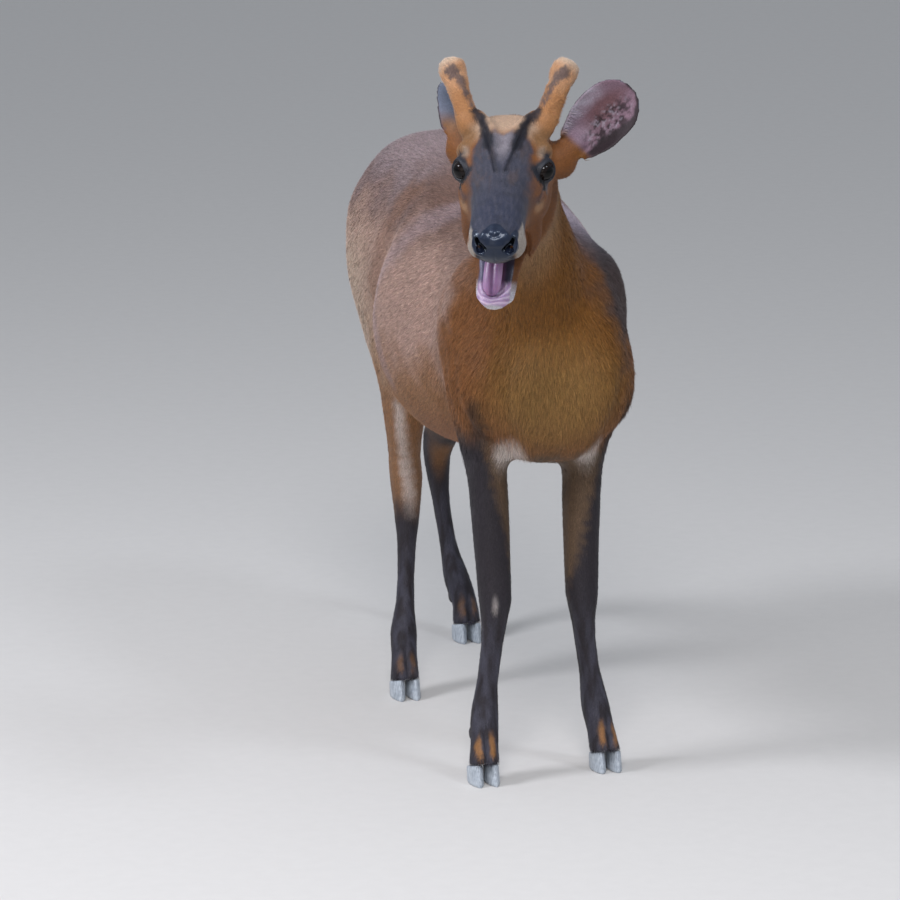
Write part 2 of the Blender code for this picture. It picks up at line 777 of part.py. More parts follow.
def mouth_hollow():
    """The hollow of the mouth between the palate and the bed of the tongue."""
    rings = []
    for forward, half, roof_up, floor_up in MOUTH_STATIONS:
        roof = head_point(0, forward * 1.04, roof_up)
        floor = jaw_point(0, forward * 0.97, floor_up)
        up = roof - floor
        reach = up.length / 2
        rings.append(ring((roof + floor) / 2, Vector((1, 0, 0)), up.normalized(), half, reach, reach, 3.0))
    return loft("mouth_hollow", rings)


def nostril(sign):
    rows = [
        (sign * 0.0110, -0.1330, -0.0080, 0.0030, 0.0038, 0),
        (sign * 0.0132, -0.1250, -0.0090, 0.0036, 0.0046, 0),
        (sign * 0.0160, -0.1170, -0.0080, 0.0026, 0.0034, 0),
    ]
    return tube("nostril", rows)


def nostril_slit(sign):
    """The tail of the nostril that runs out and back round its wing."""
    return head_ball("nostril_slit", sign * 0.0200, 0.1225, -0.0100, (0.0062, 0.0036, 0.0018), (0, sign * 18, sign * 35))


def gland_slit(sign):
    """The slit of the gland in front of and below an eye."""
    return head_ball("gland_slit", sign * 0.0385, 0.026, -0.006, (0.0040, 0.0105, 0.0016), (28, 0, sign * -15))


def head_skin():
    """The head melted into one skin, with its mouth, nostrils and gland slits cut in."""
    pieces = [skull_form(), jaw_form(), *nose_form()]
    for sign in SIDES.values():
        pieces += [*face_details(sign), cheek_web(sign)]
    neck = tube("neck_top_form", NECK_STATIONS[2:])
    neck.data.transform(head_frame().inverted())
    skin = melt("head", [*pieces, neck], HEAD_VOXEL)
    soften(skin, 3)
    soften(skin, 12, lambda point: min(1.0, (-0.010 - point.z) / 0.008) * min(1.0, (0.082 + point.y) / 0.015))
    for cutter in (mouth_hollow(), *[make(sign) for sign in SIDES.values()
                                     for make in (nostril, nostril_slit, gland_slit)]):
        boolean(skin, cutter, "DIFFERENCE")
        drop(cutter)
    return thin_out(skin, TRIANGLES["head"])


# Where the neck is parted from the torso and from the head.
NECK_BASE = (Vector((0, -0.005, 0.505)), Vector((0, -0.78, 0.62)))
NECK_TOP = (Vector((-0.056, -0.094, 0.638)), Vector((-0.25, -0.80, 0.55)))


def build_head():
    """Everything that belongs to the head, in the head's own axes and then set in place."""
    frame = head_frame()
    skin = head_skin()
    to_local = frame.inverted()
    point, normal = NECK_TOP
    whole = bisected(skin, "head_whole", to_local @ point, to_local.to_3x3() @ normal)
    drop(skin)

    jaw_outline = [(-0.30, -0.30), (0.052, -0.30), (0.052, -0.078), (0.010, -0.062), (-0.046, -0.0440),
                   (-0.30, -0.034)]
    region = prism("jaw_region", jaw_outline, "X", -0.1, 0.1)
    jaw = boolean(copy_of(whole, "jaw"), region, "INTERSECT")
    room = prism("jaw_room", jaw_outline, "X", -0.1, 0.1, GAP)
    boolean(whole, room, "DIFFERENCE")
    drop(region, room)

    nose_cut = head_ball("nose_region", 0, 0.124, -0.0095, (0.0242, 0.0190, 0.0200), (-18, 0, 0))
    nose = boolean(copy_of(whole, "nose"), nose_cut, "INTERSECT")
    room = grown(nose_cut, GAP)
    boolean(whole, room, "DIFFERENCE")
    drop(nose_cut, room)

    plain = {"eye": EYE_BLACK, "pedicle": OCHRE, "antler": VELVET, "ear": EAR_PINK}
    extras = []
    for side, sign in SIDES.items():
        eye = ball("eye_" + side, eye_place(sign), (EYE_RADIUS,) * 3, segments=15)
        pedicle, antler = antler_forms(side)
        ear = ear_form(side)
        for piece in (eye, pedicle, ear):
            socket(whole, piece)
        extras += [eye, pedicle, antler, ear]

    tongue = tongue_form()
    socket(jaw, tongue)
    whole.name = "head"
    for piece, colour, roughness in [
        (whole, SLATE, 0.8), (jaw, OCHRE, 0.8), (nose, NOSE_BLACK, 0.25), (tongue, TONGUE_PINK, 0.35),
        *[(piece, plain[piece.name.split("_")[0]], 0.1 if "eye" in piece.name else 0.75)
          for piece in extras],
    ]:
        piece.data.transform(frame)
        finish_node(piece, colour, roughness)


# Antlers: across, forward and up of the eyes, and half thickness, from the skull to the tip.
ANTLER_STATIONS = [
    (0.0270, -0.026, 0.005, 0.0085),
    (0.0345, -0.037, 0.022, 0.0122),
    (0.0395, -0.050, 0.032, 0.0113),
    (0.0445, -0.063, 0.040, 0.0110),
    (0.0490, -0.075, 0.0465, 0.0122),
    (0.0530, -0.086, 0.052, 0.0143),
    (0.0562, -0.094, 0.0555, 0.0125),
    (0.0575, -0.097, 0.057, 0.0065),
]
ANTLER_JOINT = 4


def antler_forms(side):
    """The furred pedicle and the short antler in velvet that it carries."""
    sign = SIDES[side]
    rows = [(sign * across, -forward, up, half, half, 0) for across, forward, up, half in ANTLER_STATIONS]
    whole = thin_out(melt("pedicle_" + side, [tube("antler_form", rows)], 0.0025), 400)
    here = Vector(rows[ANTLER_JOINT][:3])
    onward = (Vector(rows[ANTLER_JOINT + 1][:3]) - here).normalized()
    pedicle, antler = part_in_two(whole, "antler_" + side, here, onward)
    return pedicle, antler


EAR_LENGTH = 0.0875
EAR_HALF_WIDTH = 0.0320
EAR_CUP = 0.020
EAR_THICKNESS = 0.0032
# Root, the way the ear points and the way its cup faces, in the head's own axes.
EAR_SET = {
    "left": (Vector((0.0565, 0.050, -0.015)), Vector((0.68, 0.43, 0.59)), Vector((0.20, -0.80, 0.57))),
    "right": (Vector((-0.045, 0.053, -0.010)), Vector((-0.10, 0.97, 0.12)), Vector((-0.85, -0.10, -0.50))),
}


def ear_breadth(t):
    """How broad an ear is at a share of its length: narrow at the root, round at the tip."""
    widest = 0.46
    if t < widest:
        return 0.62 + 0.38 * math.sin(math.pi / 2 * t / widest)
    return max(0.10, (1 - ((t - widest) / (1 - widest)) ** 2.4) ** 0.5)


def ear_form(side):
    """A cupped ear: a curled blade, broad in the middle, set on a short root."""
    root, along, facing = EAR_SET[side]
    along = along.normalized()
    facing = (facing - along * facing.dot(along)).normalized()
    across = along.cross(facing)
    bm = bmesh.new()
    rows = 13
    columns = 11
    grid = []
    for i in range(rows):
        t = math.sin(math.pi / 2 * i / (rows - 1))
        half = EAR_HALF_WIDTH * ear_breadth(t)
        cup = EAR_CUP * (1 - t) ** 0.8 + 0.003
        line = []
        for j in range(columns):
            v = 2 * j / (columns - 1) - 1
            lift = cup * (v * v - 0.5) + 0.006 * t * t
            narrow = 1 - 0.22 * (1 - t) * abs(v) ** 3
            line.append(bm.verts.new(
                root + along * (EAR_LENGTH * (0.06 + 0.94 * t)) + across * (half * v * narrow) + facing * lift
            ))
        grid.append(line)
    for low, high in zip(grid, grid[1:]):
        for j in range(columns - 1):
            bm.faces.new((low[j], low[j + 1], high[j + 1], high[j]))
    blade = add_object("ear_blade", bm)
    shell = blade.modifiers.new("thickness", "SOLIDIFY")
    shell.thickness = EAR_THICKNESS
    shell.offset = 0
    settle(blade)
    base = root + along * 0.004 - facing * 0.004
    rows = [(*(base - along * 0.012), 0.0075, 0.008, 0), (*base, 0.0125, 0.0130, 0),
            (*(base + along * 0.012 - facing * 0.005), 0.0115, 0.0110, 0),
            (*(base + along * 0.024 - facing * 0.010), 0.006, 0.005, 0)]
    ear = melt("ear_" + side, [blade, tube("ear_root_form", rows)], 0.0016)
    soften(ear, 2)
    return thin_out(ear, 460)


def tongue_form():
    """The tongue, arched at the back and lying forward on the jaw to its blunt tip."""
    rows = []
    for forward, half, lift, thick in ((0.026, 0.0070, 0.004, 0.0050), (0.042, 0.0110, 0.006, 0.0062),
                                       (0.062, 0.0118, 0.004, 0.0052), (0.082, 0.0118, 0.002, 0.0042),
                                       (0.096, 0.0090, 0.001, 0.0032), (0.101, 0.0040, 0.001, 0.0020)):
        rows.append((*jaw_point(0, forward, -0.036 + lift), half, thick, 0))
    tongue = melt("tongue", [tube("tongue_form", rows)], 0.0016)
    soften(tongue, 2)
    return thin_out(tongue, 260)


def set_origin():
    """Moves the deer so that the middle of its box's bottom is at the origin."""
    corners = [obj.matrix_world @ vert.co for obj in DEER.objects for vert in obj.data.vertices]
    low = Vector(min(corner[axis] for corner in corners) for axis in range(3))
    high = Vector(max(corner[axis] for corner in corners) for axis in range(3))
    shift = Vector((-(low.x + high.x) / 2, -(low.y + high.y) / 2, -low.z))
    for obj in DEER.objects:
        obj.data.transform(Matrix.Translation(shift))
    return shift


def build():
    body = body_skin()
    point, normal = NECK_BASE
    torso, front = part_in_two(body, "neck", point, normal)
    point, normal = NECK_TOP
    neck = bisected(front, "neck_kept", point, -normal)
    drop(front)
    neck.name = "neck"
    legs = part_legs(torso)
    tail(torso, legs)
    feet(legs)
    finish_node(torso, CHESTNUT)
    finish_node(neck, OCHRE)
    build_head()
    shift = set_origin()
    for cutter in CUTTERS.objects:
        cutter.hide_render = True
        cutter.display_type = "WIRE"
    return shift


SHIFT = build()
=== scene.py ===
"""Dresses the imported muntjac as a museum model: one skin, its summer coat, eyes, velvet and hooves."""
import math

import bmesh
import bpy
import numpy as np
from mathutils import Matrix, Vector


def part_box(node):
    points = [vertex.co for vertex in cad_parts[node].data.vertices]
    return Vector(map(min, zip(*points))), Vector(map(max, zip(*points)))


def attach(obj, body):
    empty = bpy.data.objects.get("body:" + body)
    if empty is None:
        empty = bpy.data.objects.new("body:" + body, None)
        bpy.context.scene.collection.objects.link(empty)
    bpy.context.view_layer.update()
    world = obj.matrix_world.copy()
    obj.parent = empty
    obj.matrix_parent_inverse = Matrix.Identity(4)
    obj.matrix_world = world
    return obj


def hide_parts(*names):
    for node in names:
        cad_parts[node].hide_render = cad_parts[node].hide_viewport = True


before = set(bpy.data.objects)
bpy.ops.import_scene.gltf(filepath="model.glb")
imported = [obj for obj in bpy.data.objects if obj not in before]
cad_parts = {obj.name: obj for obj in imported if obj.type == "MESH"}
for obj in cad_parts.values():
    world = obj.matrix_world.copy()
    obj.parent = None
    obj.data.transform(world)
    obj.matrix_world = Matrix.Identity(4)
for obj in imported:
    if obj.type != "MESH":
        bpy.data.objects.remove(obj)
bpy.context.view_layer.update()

MM = 0.001
SIDES = {"right": -1, "left": 1}
ENDS = ("fore", "hind")
CLAWS = ("inner", "outer")


# Places.

def middle(*nodes):
    """The mean of the box centres of some solids."""
    total = Vector()
    for node in nodes:
        low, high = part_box(node)
        total += (low + high) / 2
    return total / len(nodes)


# The deer's own frame stands under its fore hooves: left is +x, back is +y.
STAND = middle(*[f"hoof_fore_{side}_{claw}" for side in SIDES for claw in CLAWS]) - Vector((0, 0.001, 0))
STAND.z = 0
# The head's own axes: left, back, up from the middle between the eyes.
HEAD_TURN = math.radians(19.2)
FACE_SLOPE = math.radians(24)
EYES_MIDDLE = Vector((-0.0890, -0.168, 0.648))
HEAD = (Matrix.Translation(STAND + EYES_MIDDLE) @ Matrix.Rotation(-HEAD_TURN, 4, "Z")
        @ Matrix.Rotation(FACE_SLOPE, 4, "X"))
HEAD_TURNING = np.array(HEAD.to_3x3())
HEAD_PLACE = np.array(HEAD.translation)
JAW_OPEN = math.radians(27.6)
JAW_SWING = math.radians(3.6)
JAW_HINGE = (-45 * MM, -12 * MM)


# The middle of each foot, from its two hooves, in the deer's frame.
FEET = [middle(*[f"hoof_{end}_{side}_{claw}" for claw in CLAWS]) - STAND for end in ENDS for side in SIDES]


def spot(side, forward, up):
    """A place on the head, in millimetres from between the eyes, in the head's own axes."""
    return np.array((side, -forward, up)) * MM


def spots(*rows):
    return [spot(*row) for row in rows]


def to_head(places):
    return (places - HEAD_PLACE) @ HEAD_TURNING


def from_head(places):
    return places @ HEAD_TURNING.T + HEAD_PLACE


def to_deer(places):
    return places - np.array(STAND)


def from_deer(places):
    return np.asarray(places, float) + np.array(STAND)


# Small sums.

def unit(rows):
    rows = np.asarray(rows, float)
    return rows / np.maximum(np.linalg.norm(rows, axis=-1, keepdims=True), 1e-12)


def rise(value, start, end):
    """0 before start, 1 after end, smooth between them. start may be the larger one."""
    t = np.clip((value - start) / (end - start), 0, 1)
    return t * t * (3 - 2 * t)


def wander(places, size, seed, layers=3):
    """Smooth noise from about -1 to 1 with waves of that size in metres, the same in each run."""
    draw = np.random.default_rng(seed)
    total = np.zeros(len(places))
    for layer in range(layers):
        waves = unit(draw.normal(size=(7, 3))) * (2 * math.pi * 2 ** layer / size)
        total += np.sin(places @ waves.T + draw.uniform(0, 2 * math.pi, 7)).sum(1) * 0.5 ** layer
    return total / 4.2


def out_from(places, centre, radii):
    """How far places stand out from the middle of an ellipsoid, 1 on its surface."""
    return np.linalg.norm((places - np.asarray(centre)) / np.asarray(radii), axis=1)


def near(places, centre, radii, soft=0.4):
    """1 inside an ellipsoid and 0 outside it, with a soft edge."""
    return rise(out_from(places, centre, radii), 1 + soft, 1 - soft)


def head_near(places, centre, radii, soft):
    """The same for places in the head's axes, with the ellipsoid in millimetres."""
    return near(places, spot(*centre), np.array(radii) * MM, soft)


def line_distance(places, points):
    """Distance to a line of points, and how far along it the nearest place is, from 0 to 1."""
    best = np.full(len(places), 1e9)
    along = np.zeros(len(places))
    steps = len(points) - 1
    for i in range(steps):
        a = np.asarray(points[i])
        b = np.asarray(points[i + 1])
        t = np.clip((places - a) @ (b - a) / ((b - a) @ (b - a)), 0, 1)
        d = np.linalg.norm(places - a - t[:, None] * (b - a), axis=1)
        closer = d < best
        best[closer] = d[closer]
        along[closer] = (i + t[closer]) / steps
    return best, along


def mirrored(places):
    """The same places with both sides of the deer laid on its left one."""
    out = places.copy()
    out[:, 0] = np.abs(out[:, 0])
    return out


def curve_through(rows, steps=5):
    """Rows of numbers with smooth rows put between them."""
    rows = np.asarray(rows, float)
    ends = np.vstack((2 * rows[0] - rows[1], rows, 2 * rows[-1] - rows[-2]))
    made = []
    for i in range(1, len(ends) - 2):
        a, b, c, d = ends[i - 1:i + 3]
        for k in range(steps):
            t = k / steps
            made.append(0.5 * (2 * b + (c - a) * t + (2 * a - 5 * b + 4 * c - d) * t ** 2
                               + (3 * b - a - 3 * c + d) * t ** 3))
    return np.array(made + [rows[-1]])


# Meshes.

def show(obj):
    bpy.context.scene.collection.objects.link(obj)
    return obj


def mesh_object(name, verts, faces):
    mesh = bpy.data.meshes.new(name)
    mesh.from_pydata([tuple(v) for v in verts], [], faces)
    return show(bpy.data.objects.new(name, mesh))


def values_of(items, key, width=1, kind=float):
    """One value of each vertex, edge, corner or face of a mesh, in rows where it has more numbers."""
    flat = np.empty(len(items) * width, kind)
    items.foreach_get(key, flat)
    return flat.reshape(-1, width) if width > 1 else flat


def places_of(mesh):
    return values_of(mesh.vertices, "co", 3)


def normals_of(mesh):
    return values_of(mesh.vertex_normals, "vector", 3)


def put_places(mesh, places):
    mesh.vertices.foreach_set("co", np.ascontiguousarray(places, np.float32).ravel())
    mesh.update()


def edges_of(mesh):
    return values_of(mesh.edges, "vertices", 2, np.int64)


def settle(obj):
    """Applies an object's modifiers."""
    made = bpy.data.meshes.new_from_object(obj.evaluated_get(bpy.context.evaluated_depsgraph_get()))
    obj.modifiers.clear()
    old = obj.data
    obj.data = made
    bpy.data.meshes.remove(old)
    return obj


def remeshed(obj, size):
    """Lays an object's surface again in even faces of that size."""
    fine = obj.modifiers.new("fine", "REMESH")
    fine.mode = "VOXEL"
    fine.voxel_size = size
    return settle(obj).data


def shade_smooth(mesh):
    mesh.polygons.foreach_set("use_smooth", np.ones(len(mesh.polygons), bool))


def neighbours(mesh):
    pairs = edges_of(mesh)
    ends = np.concatenate((pairs[:, 0], pairs[:, 1]))
    others = np.concatenate((pairs[:, 1], pairs[:, 0]))
    order = np.argsort(ends, kind="stable")
    counts = np.bincount(ends, minlength=len(mesh.vertices))
    starts = np.concatenate(([0], np.cumsum(counts)[:-1]))
    return others[order], starts, counts


def smoothed(mesh, weight, rounds):
    """Moves each vertex toward the mean of its neighbours, by its own weight, that many times."""
    others, starts, counts = neighbours(mesh)
    places = places_of(mesh)
    share = np.broadcast_to(weight, len(places))[:, None]
    for _ in range(rounds):
        mean = np.add.reduceat(places[others], starts) / counts[:, None]
        places += share * (mean - places)
    put_places(mesh, places)


def tube(rings, sides=20, power=2.0):
    """A closed tube through rings of (centre, side axis, up axis), as vertices and faces."""
    verts = []
    faces = []
    for centre, side, up in rings:
        for k in range(sides):
            a = 2 * math.pi * k / sides
            c, s = math.cos(a), math.sin(a)
            verts.append(centre + side * math.copysign(abs(c) ** (2 / power), c)
                         + up * math.copysign(abs(s) ** (2 / power), s))
    for i in range(len(rings) - 1):
        for k in range(sides):
            a = i * sides + k
            b = i * sides + (k + 1) % sides
            faces.append((a, b, b + sides, a + sides))
    for base, step in ((0, -1), ((len(rings) - 1) * sides, 1)):
        faces.append(tuple(base + k for k in range(sides))[::step])
    return verts, faces


def round_tube(rows, sides=20):
    """Rings for a tube of rows x, y, z, half across, half deep, square to its line."""
    rows = np.asarray(rows, float)
    rings = []
    for i, row in enumerate(rows):
        ahead = unit(rows[min(i + 1, len(rows) - 1), :3] - rows[max(i - 1, 0), :3])
        side = unit(np.array((1.0, 0, 0)) - ahead * ahead[0])
        rings.append((row[:3], side * row[3], np.cross(ahead, side) * row[4]))
    return tube(rings, sides)


# Colour.

def linear(code):
    """An sRGB hex value as linear red, green and blue."""
    parts = [int(code[i:i + 2], 16) / 255 for i in (1, 3, 5)]
    return np.array([c / 12.92 if c <= 0.04045 else ((c + 0.055) / 1.055) ** 2.4 for c in parts])


def palette(codes):
    return {name: linear(code) for name, code in codes.items()}


COAT = palette({
    "back": "#6e5449", "flank": "#a98c7f", "low flank": "#8d6646", "belly": "#794524",
    "rump": "#8b7a7a", "haunch": "#b8a290", "withers sheen": "#a2949e", "shoulder shade": "#3f3c40",
    "shoulder": "#7f522d", "chest": "#8b6a3c", "neck": "#7a4f1e", "throat": "#a08060",
    "chest crease shade": "#38281e", "white": "#dfd4ce", "leg": "#2f2a2f", "leg sheen": "#4d4c58",
    "leg inner": "#644f3c", "pastern": "#b07c48", "gaskin": "#90633a", "tail": "#8d5a32",
    "mask": "#3b3c49", "mask dark": "#2c3144", "mask brown": "#483d3e", "ridge": "#191922",
    "poll": "#b5987f", "brow": "#85603c", "brow pale": "#978574", "cheek": "#7f4f27",
    "cheek shade": "#6f4320", "under eye": "#a07b5a", "muzzle white": "#a39a90", "chin white": "#d2ced4",
    "mask pale": "#8d868c", "lip": "#3d2e28", "pedicle": "#a6754a", "velvet": "#bd8f68",
    "velvet tip": "#c4ad96", "velvet dark": "#544a4c", "ear back": "#707788", "ear in": "#866b79",
    "ear blotch": "#2b1d22", "ear pink": "#6d494b", "ear rim": "#2d2427", "ear hair": "#b4abb8",
    "lid": "#24262e", "lid pale": "#5f6270",
})
LINING = palette({
    "deep": "#1d1622", "palate": "#7a5577", "lit cheek wall": "#57526c", "shaded cheek wall": "#34303f",
    "floor": "#b093b4", "ridge": "#ddc9dc", "fold": "#906d95",
})
BARE = palette({
    "nose pad": "#171c2c", "nostril": "#040406", "eye socket": "#0c0a0c", "tongue": "#a27aa2",
    "tongue edge highlight": "#c49cc2", "tongue groove shade": "#5d3560", "tongue root shade": "#4c2e50", "eye white": "#3c3a46",
    "iris": "#150d0b", "iris edge": "#050405", "pupil": "#010101",
})


def tint(colours, weight, target):
    colours += np.asarray(weight)[:, None] * (target - colours)


# Lines of the head, in millimetres: side, forward, up. Both sides are alike.
BROW_LINE = spots((5.0, 36, 20.5), (8.6, 20, 24), (13.5, 3, 27.5), (18.5, -17, 30.5),
                  (25.0, -34, 35), (32.0, -50, 41.5))
GLAND_SLIT = spots((36.0, 18, -2.5), (34.5, 26, -6.0), (32.5, 36, -10.5))
MOUTH_LINE = spots((10, 122, -27), (20, 108, -31), (23, 90, -34), (25.5, 70, -40),
                   (26.5, 52, -46))
NOSTRIL = spots((9.5, 127.3, -7.5), (12.5, 125.6, -5.6), (15.6, 123.4, -3.2), (17.2, 121, -0.4))


# The lower edge of the nose pad, in millimetres: how far out, and how high.
PAD_LOW = ((0, 8, 13, 17, 21, 23), (-26, -25, -20.5, -15.5, -12, -9))


def jaw_turn(places):
    """For places in the head's axes: reach from the jaw's hinge, share of the gape, and side of the jaw.

    The share is 0 at the shut palate's line and 1 on the jaw. The jaw swings to the deer's right as it opens.
    """
    ahead = -places[:, 1] - JAW_HINGE[0]
    up = places[:, 2] - JAW_HINGE[1]
    share = np.arctan2(-up, ahead) / JAW_OPEN
    swing = JAW_SWING * np.clip(share, 0, 1)
    side = places[:, 0] * np.cos(swing) + ahead * np.sin(swing)
    ahead = ahead * np.cos(swing) - places[:, 0] * np.sin(swing)
    return np.hypot(ahead, up), share, side


def eye_axes(sign):
    """Middle of an eye, the way it looks, the way to its inner corner, and up its lids."""
    centre = spot(sign * 35, 3, 0)
    facing = unit(np.array((sign * 0.72, -0.64, 0.26)))
    inner = np.array((-sign * 0.62, -0.66, -0.42))
    inner = unit(inner - facing * (inner @ facing))
    upward = np.cross(facing, inner)
    return centre, facing, inner, upward * np.sign(upward[2])


EYE_RADIUS = 12.8 * MM
LID_ACROSS = 10.5 * MM
LID_HIGH = 8.0 * MM


def lid_share(places, sign):
    """How far out a place is from the middle of the lids: 1 at their edge. Also its height in the lids."""
    centre, facing, inner, upward = eye_axes(sign)
    out = places - centre
    reach = np.linalg.norm(out, axis=1)
    ray = out / np.maximum(reach, 1e-9)[:, None] * EYE_RADIUS
    x = ray @ inner
    y = ray @ upward
    share = ((np.abs(x) / LID_ACROSS) ** 1.9 + (np.abs(y) / LID_HIGH) ** 1.9) ** (1 / 1.9)
    share[((out @ facing) < 0.1 * EYE_RADIUS) | (reach > 26 * MM)] = 9
    return share, reach, ray, x, y


def markings(places):
    """Colours of the coat and skin at places in the row frame."""
    p = to_deer(places)
    h = to_head(places)
    m = mirrored(h)
    side = np.abs(p[:, 0])
    colours = np.tile(COAT["flank"], (len(p), 1))
    blur = wander(places, 0.05, 3) * 0.012
    fine = wander(places, 0.012, 4)
    z = p[:, 2] + blur
    y = p[:, 1] + blur
    # Trunk: greyer and paler above, redder below.
    tint(colours, rise(z, 0.49, 0.56), COAT["back"])
    tint(colours, rise(z, 0.44, 0.36), COAT["low flank"])
    tint(colours, rise(z, 0.37, 0.29) * 0.8, COAT["belly"])
    tint(colours, rise(y, 0.20, 0.34) * rise(z, 0.50, 0.58), COAT["rump"])
    tint(colours, rise(y, 0.30, 0.42) * rise(z, 0.54, 0.44), COAT["haunch"])
    # Fore end: ochre shoulders, chest and neck, with painted shade in dark grey on the left shoulder.
    front = rise(y, 0.060 + 0.050 * rise(z, 0.53, 0.45), -0.005 + 0.045 * rise(z, 0.53, 0.45))
    tint(colours, front * rise(z, 0.60, 0.52), COAT["shoulder"])
    mirror = mirrored(p)
    # Painted shade: a dark brown line down the crease between the breast and the upper arm, on both sides.
    streak = [(0.080, -0.022, 0.388), (0.074, -0.008, 0.352), (0.070, 0.004, 0.315)]
    d, _ = line_distance(mirror, streak)
    tint(colours, rise(d + fine * 0.004, 0.020, 0.004) * 0.8, COAT["chest crease shade"])
    # Painted highlight on the rim of the ribs where they stand before the thigh, and painted shade in the
    # hollow behind it.
    d, _ = line_distance(mirror, [(0.055, 0.140, 0.552), (0.083, 0.186, 0.532), (0.102, 0.214, 0.503),
                                  (0.110, 0.254, 0.470), (0.112, 0.270, 0.428), (0.108, 0.215, 0.372)])
    tint(colours, rise(d + blur * 0.5, 0.024, 0.004) * 0.30, COAT["withers sheen"])
    d, _ = line_distance(mirror, [(0.080, 0.270, 0.540), (0.093, 0.300, 0.490), (0.096, 0.320, 0.440)])
    tint(colours, rise(d + blur, 0.040, 0.010) * 0.30, COAT["shoulder"])
    # Painted sheen: a pale lilac patch over the left withers, as light on the top of the back.
    tint(colours, near(p, (0.055, 0.075, 0.560), (0.050, 0.080, 0.045), 0.5), COAT["withers sheen"])
    # Painted shade: only the left shoulder is painted dark grey, as the side turned from the light.
    tint(colours, near(p + blur[:, None], (0.078, 0.010, 0.505), (0.045, 0.070, 0.075), 0.5) * 0.85,
         COAT["shoulder shade"])
    tint(colours, rise(y, -0.015, -0.060) * rise(z, 0.36, 0.42), COAT["neck"])
    tint(colours, near(p, (-0.01, -0.10, 0.40), (0.075, 0.075, 0.060), 0.6) * 0.8, COAT["chest"])
    tint(colours, near(p, (-0.05, -0.11, 0.58), (0.035, 0.040, 0.050), 0.6) * 0.6, COAT["throat"])
    # Legs: dark from the elbow and gaskin down, with a browner inner side.
    fore = p[:, 1] < 0.20
    low = fore * rise(p[:, 1], 0.090, 0.070)
    tint(colours, low * rise(z, 0.355, 0.325), COAT["leg inner"])
    bound = np.interp(p[:, 2], (0.19, 0.22, 0.26, 0.29, 0.32, 0.35, 0.375, 0.40),
                      (0.024, 0.035, 0.043, 0.050, 0.057, 0.066, 0.075, 0.088))
    outer = rise(side + 0.003 * fine, bound - 0.007, bound + 0.006)
    tint(colours, low * outer * rise(p[:, 2], 0.375, 0.335), COAT["leg"])
    tint(colours, (~fore) * rise(z, 0.38, 0.31) * 0.8, COAT["gaskin"])
    d, _ = line_distance(p, [(-0.070, 0.333, 0.315), (-0.063, 0.347, 0.275), (-0.0556, 0.3605, 0.245),
                             (-0.0496, 0.363, 0.217), (-0.048, 0.362, 0.19)])
    tint(colours, rise(d + 0.002 * fine, 0.014, 0.0) * 0.6, COAT["white"])
    dark_from = np.where(p[:, 0] > 0, 0.245, 0.205)
    hind = (~fore) * rise(p[:, 1], 0.28, 0.30) * rise(z, dark_from + 0.025, dark_from - 0.025)
    tint(colours, hind, COAT["leg"])
    tint(colours, near(p, (0.035, 0.556, 0.210), (0.012, 0.022, 0.034), 0.6) * 0.75, COAT["gaskin"])
    # Painted sheen: pale blue-grey streaks down the lower legs, standing for light on the hair.
    lower = rise(p[:, 2], 0.20, 0.12)
    sheen = wander(p * (1, 1, 0.15), 0.010, 16)
    tint(colours, lower * rise(sheen, -0.8, 0.9) * 0.8, COAT["leg sheen"])
    whites = near(mirror, (0.041, -0.012, 0.338), (0.012, 0.028, 0.024), 0.6)
    tint(colours, whites * (0.65 + 0.3 * fine).clip(0, 0.9), COAT["white"])
    # A tan patch over each claw, on the front of the pastern, and a pale scar on the right knee.
    for foot in FEET:
        out = np.abs(p[:, 0] - foot.x) + 0.0012 * fine
        ahead = p[:, 1] - foot.y
        patch = rise(out, 0.0025, 0.006) * rise(out, 0.012, 0.008) * rise(ahead, 0.001, -0.004)
        rim = p[:, 2] + 0.003 * fine
        patch *= rise(rim, 0.028, 0.035) * rise(rim, 0.058, 0.044) * (np.abs(ahead) < 0.04)
        tint(colours, patch * (0.75 if foot.y < 0.2 else 0.3), COAT["pastern"])
    tint(colours, near(p, (-0.054, -0.009, 0.181), (0.0028, 0.01, 0.009), 0.6) * 0.35, COAT["white"])
    # Tail.
    tail = near(p, (0, 0.545, 0.43), (0.04, 0.035, 0.11), 0.1)
    tint(colours, tail, COAT["tail"])
    under = np.interp(p[:, 2], (0.34, 0.44, 0.52), (0.545, 0.541, 0.530))
    tint(colours, tail * rise(p[:, 1], under + 0.002, under - 0.003) * rise(z, 0.52, 0.50), COAT["white"])
    head_marks(colours, h, m, fine)
    return np.clip(colours, 0.001, 1)


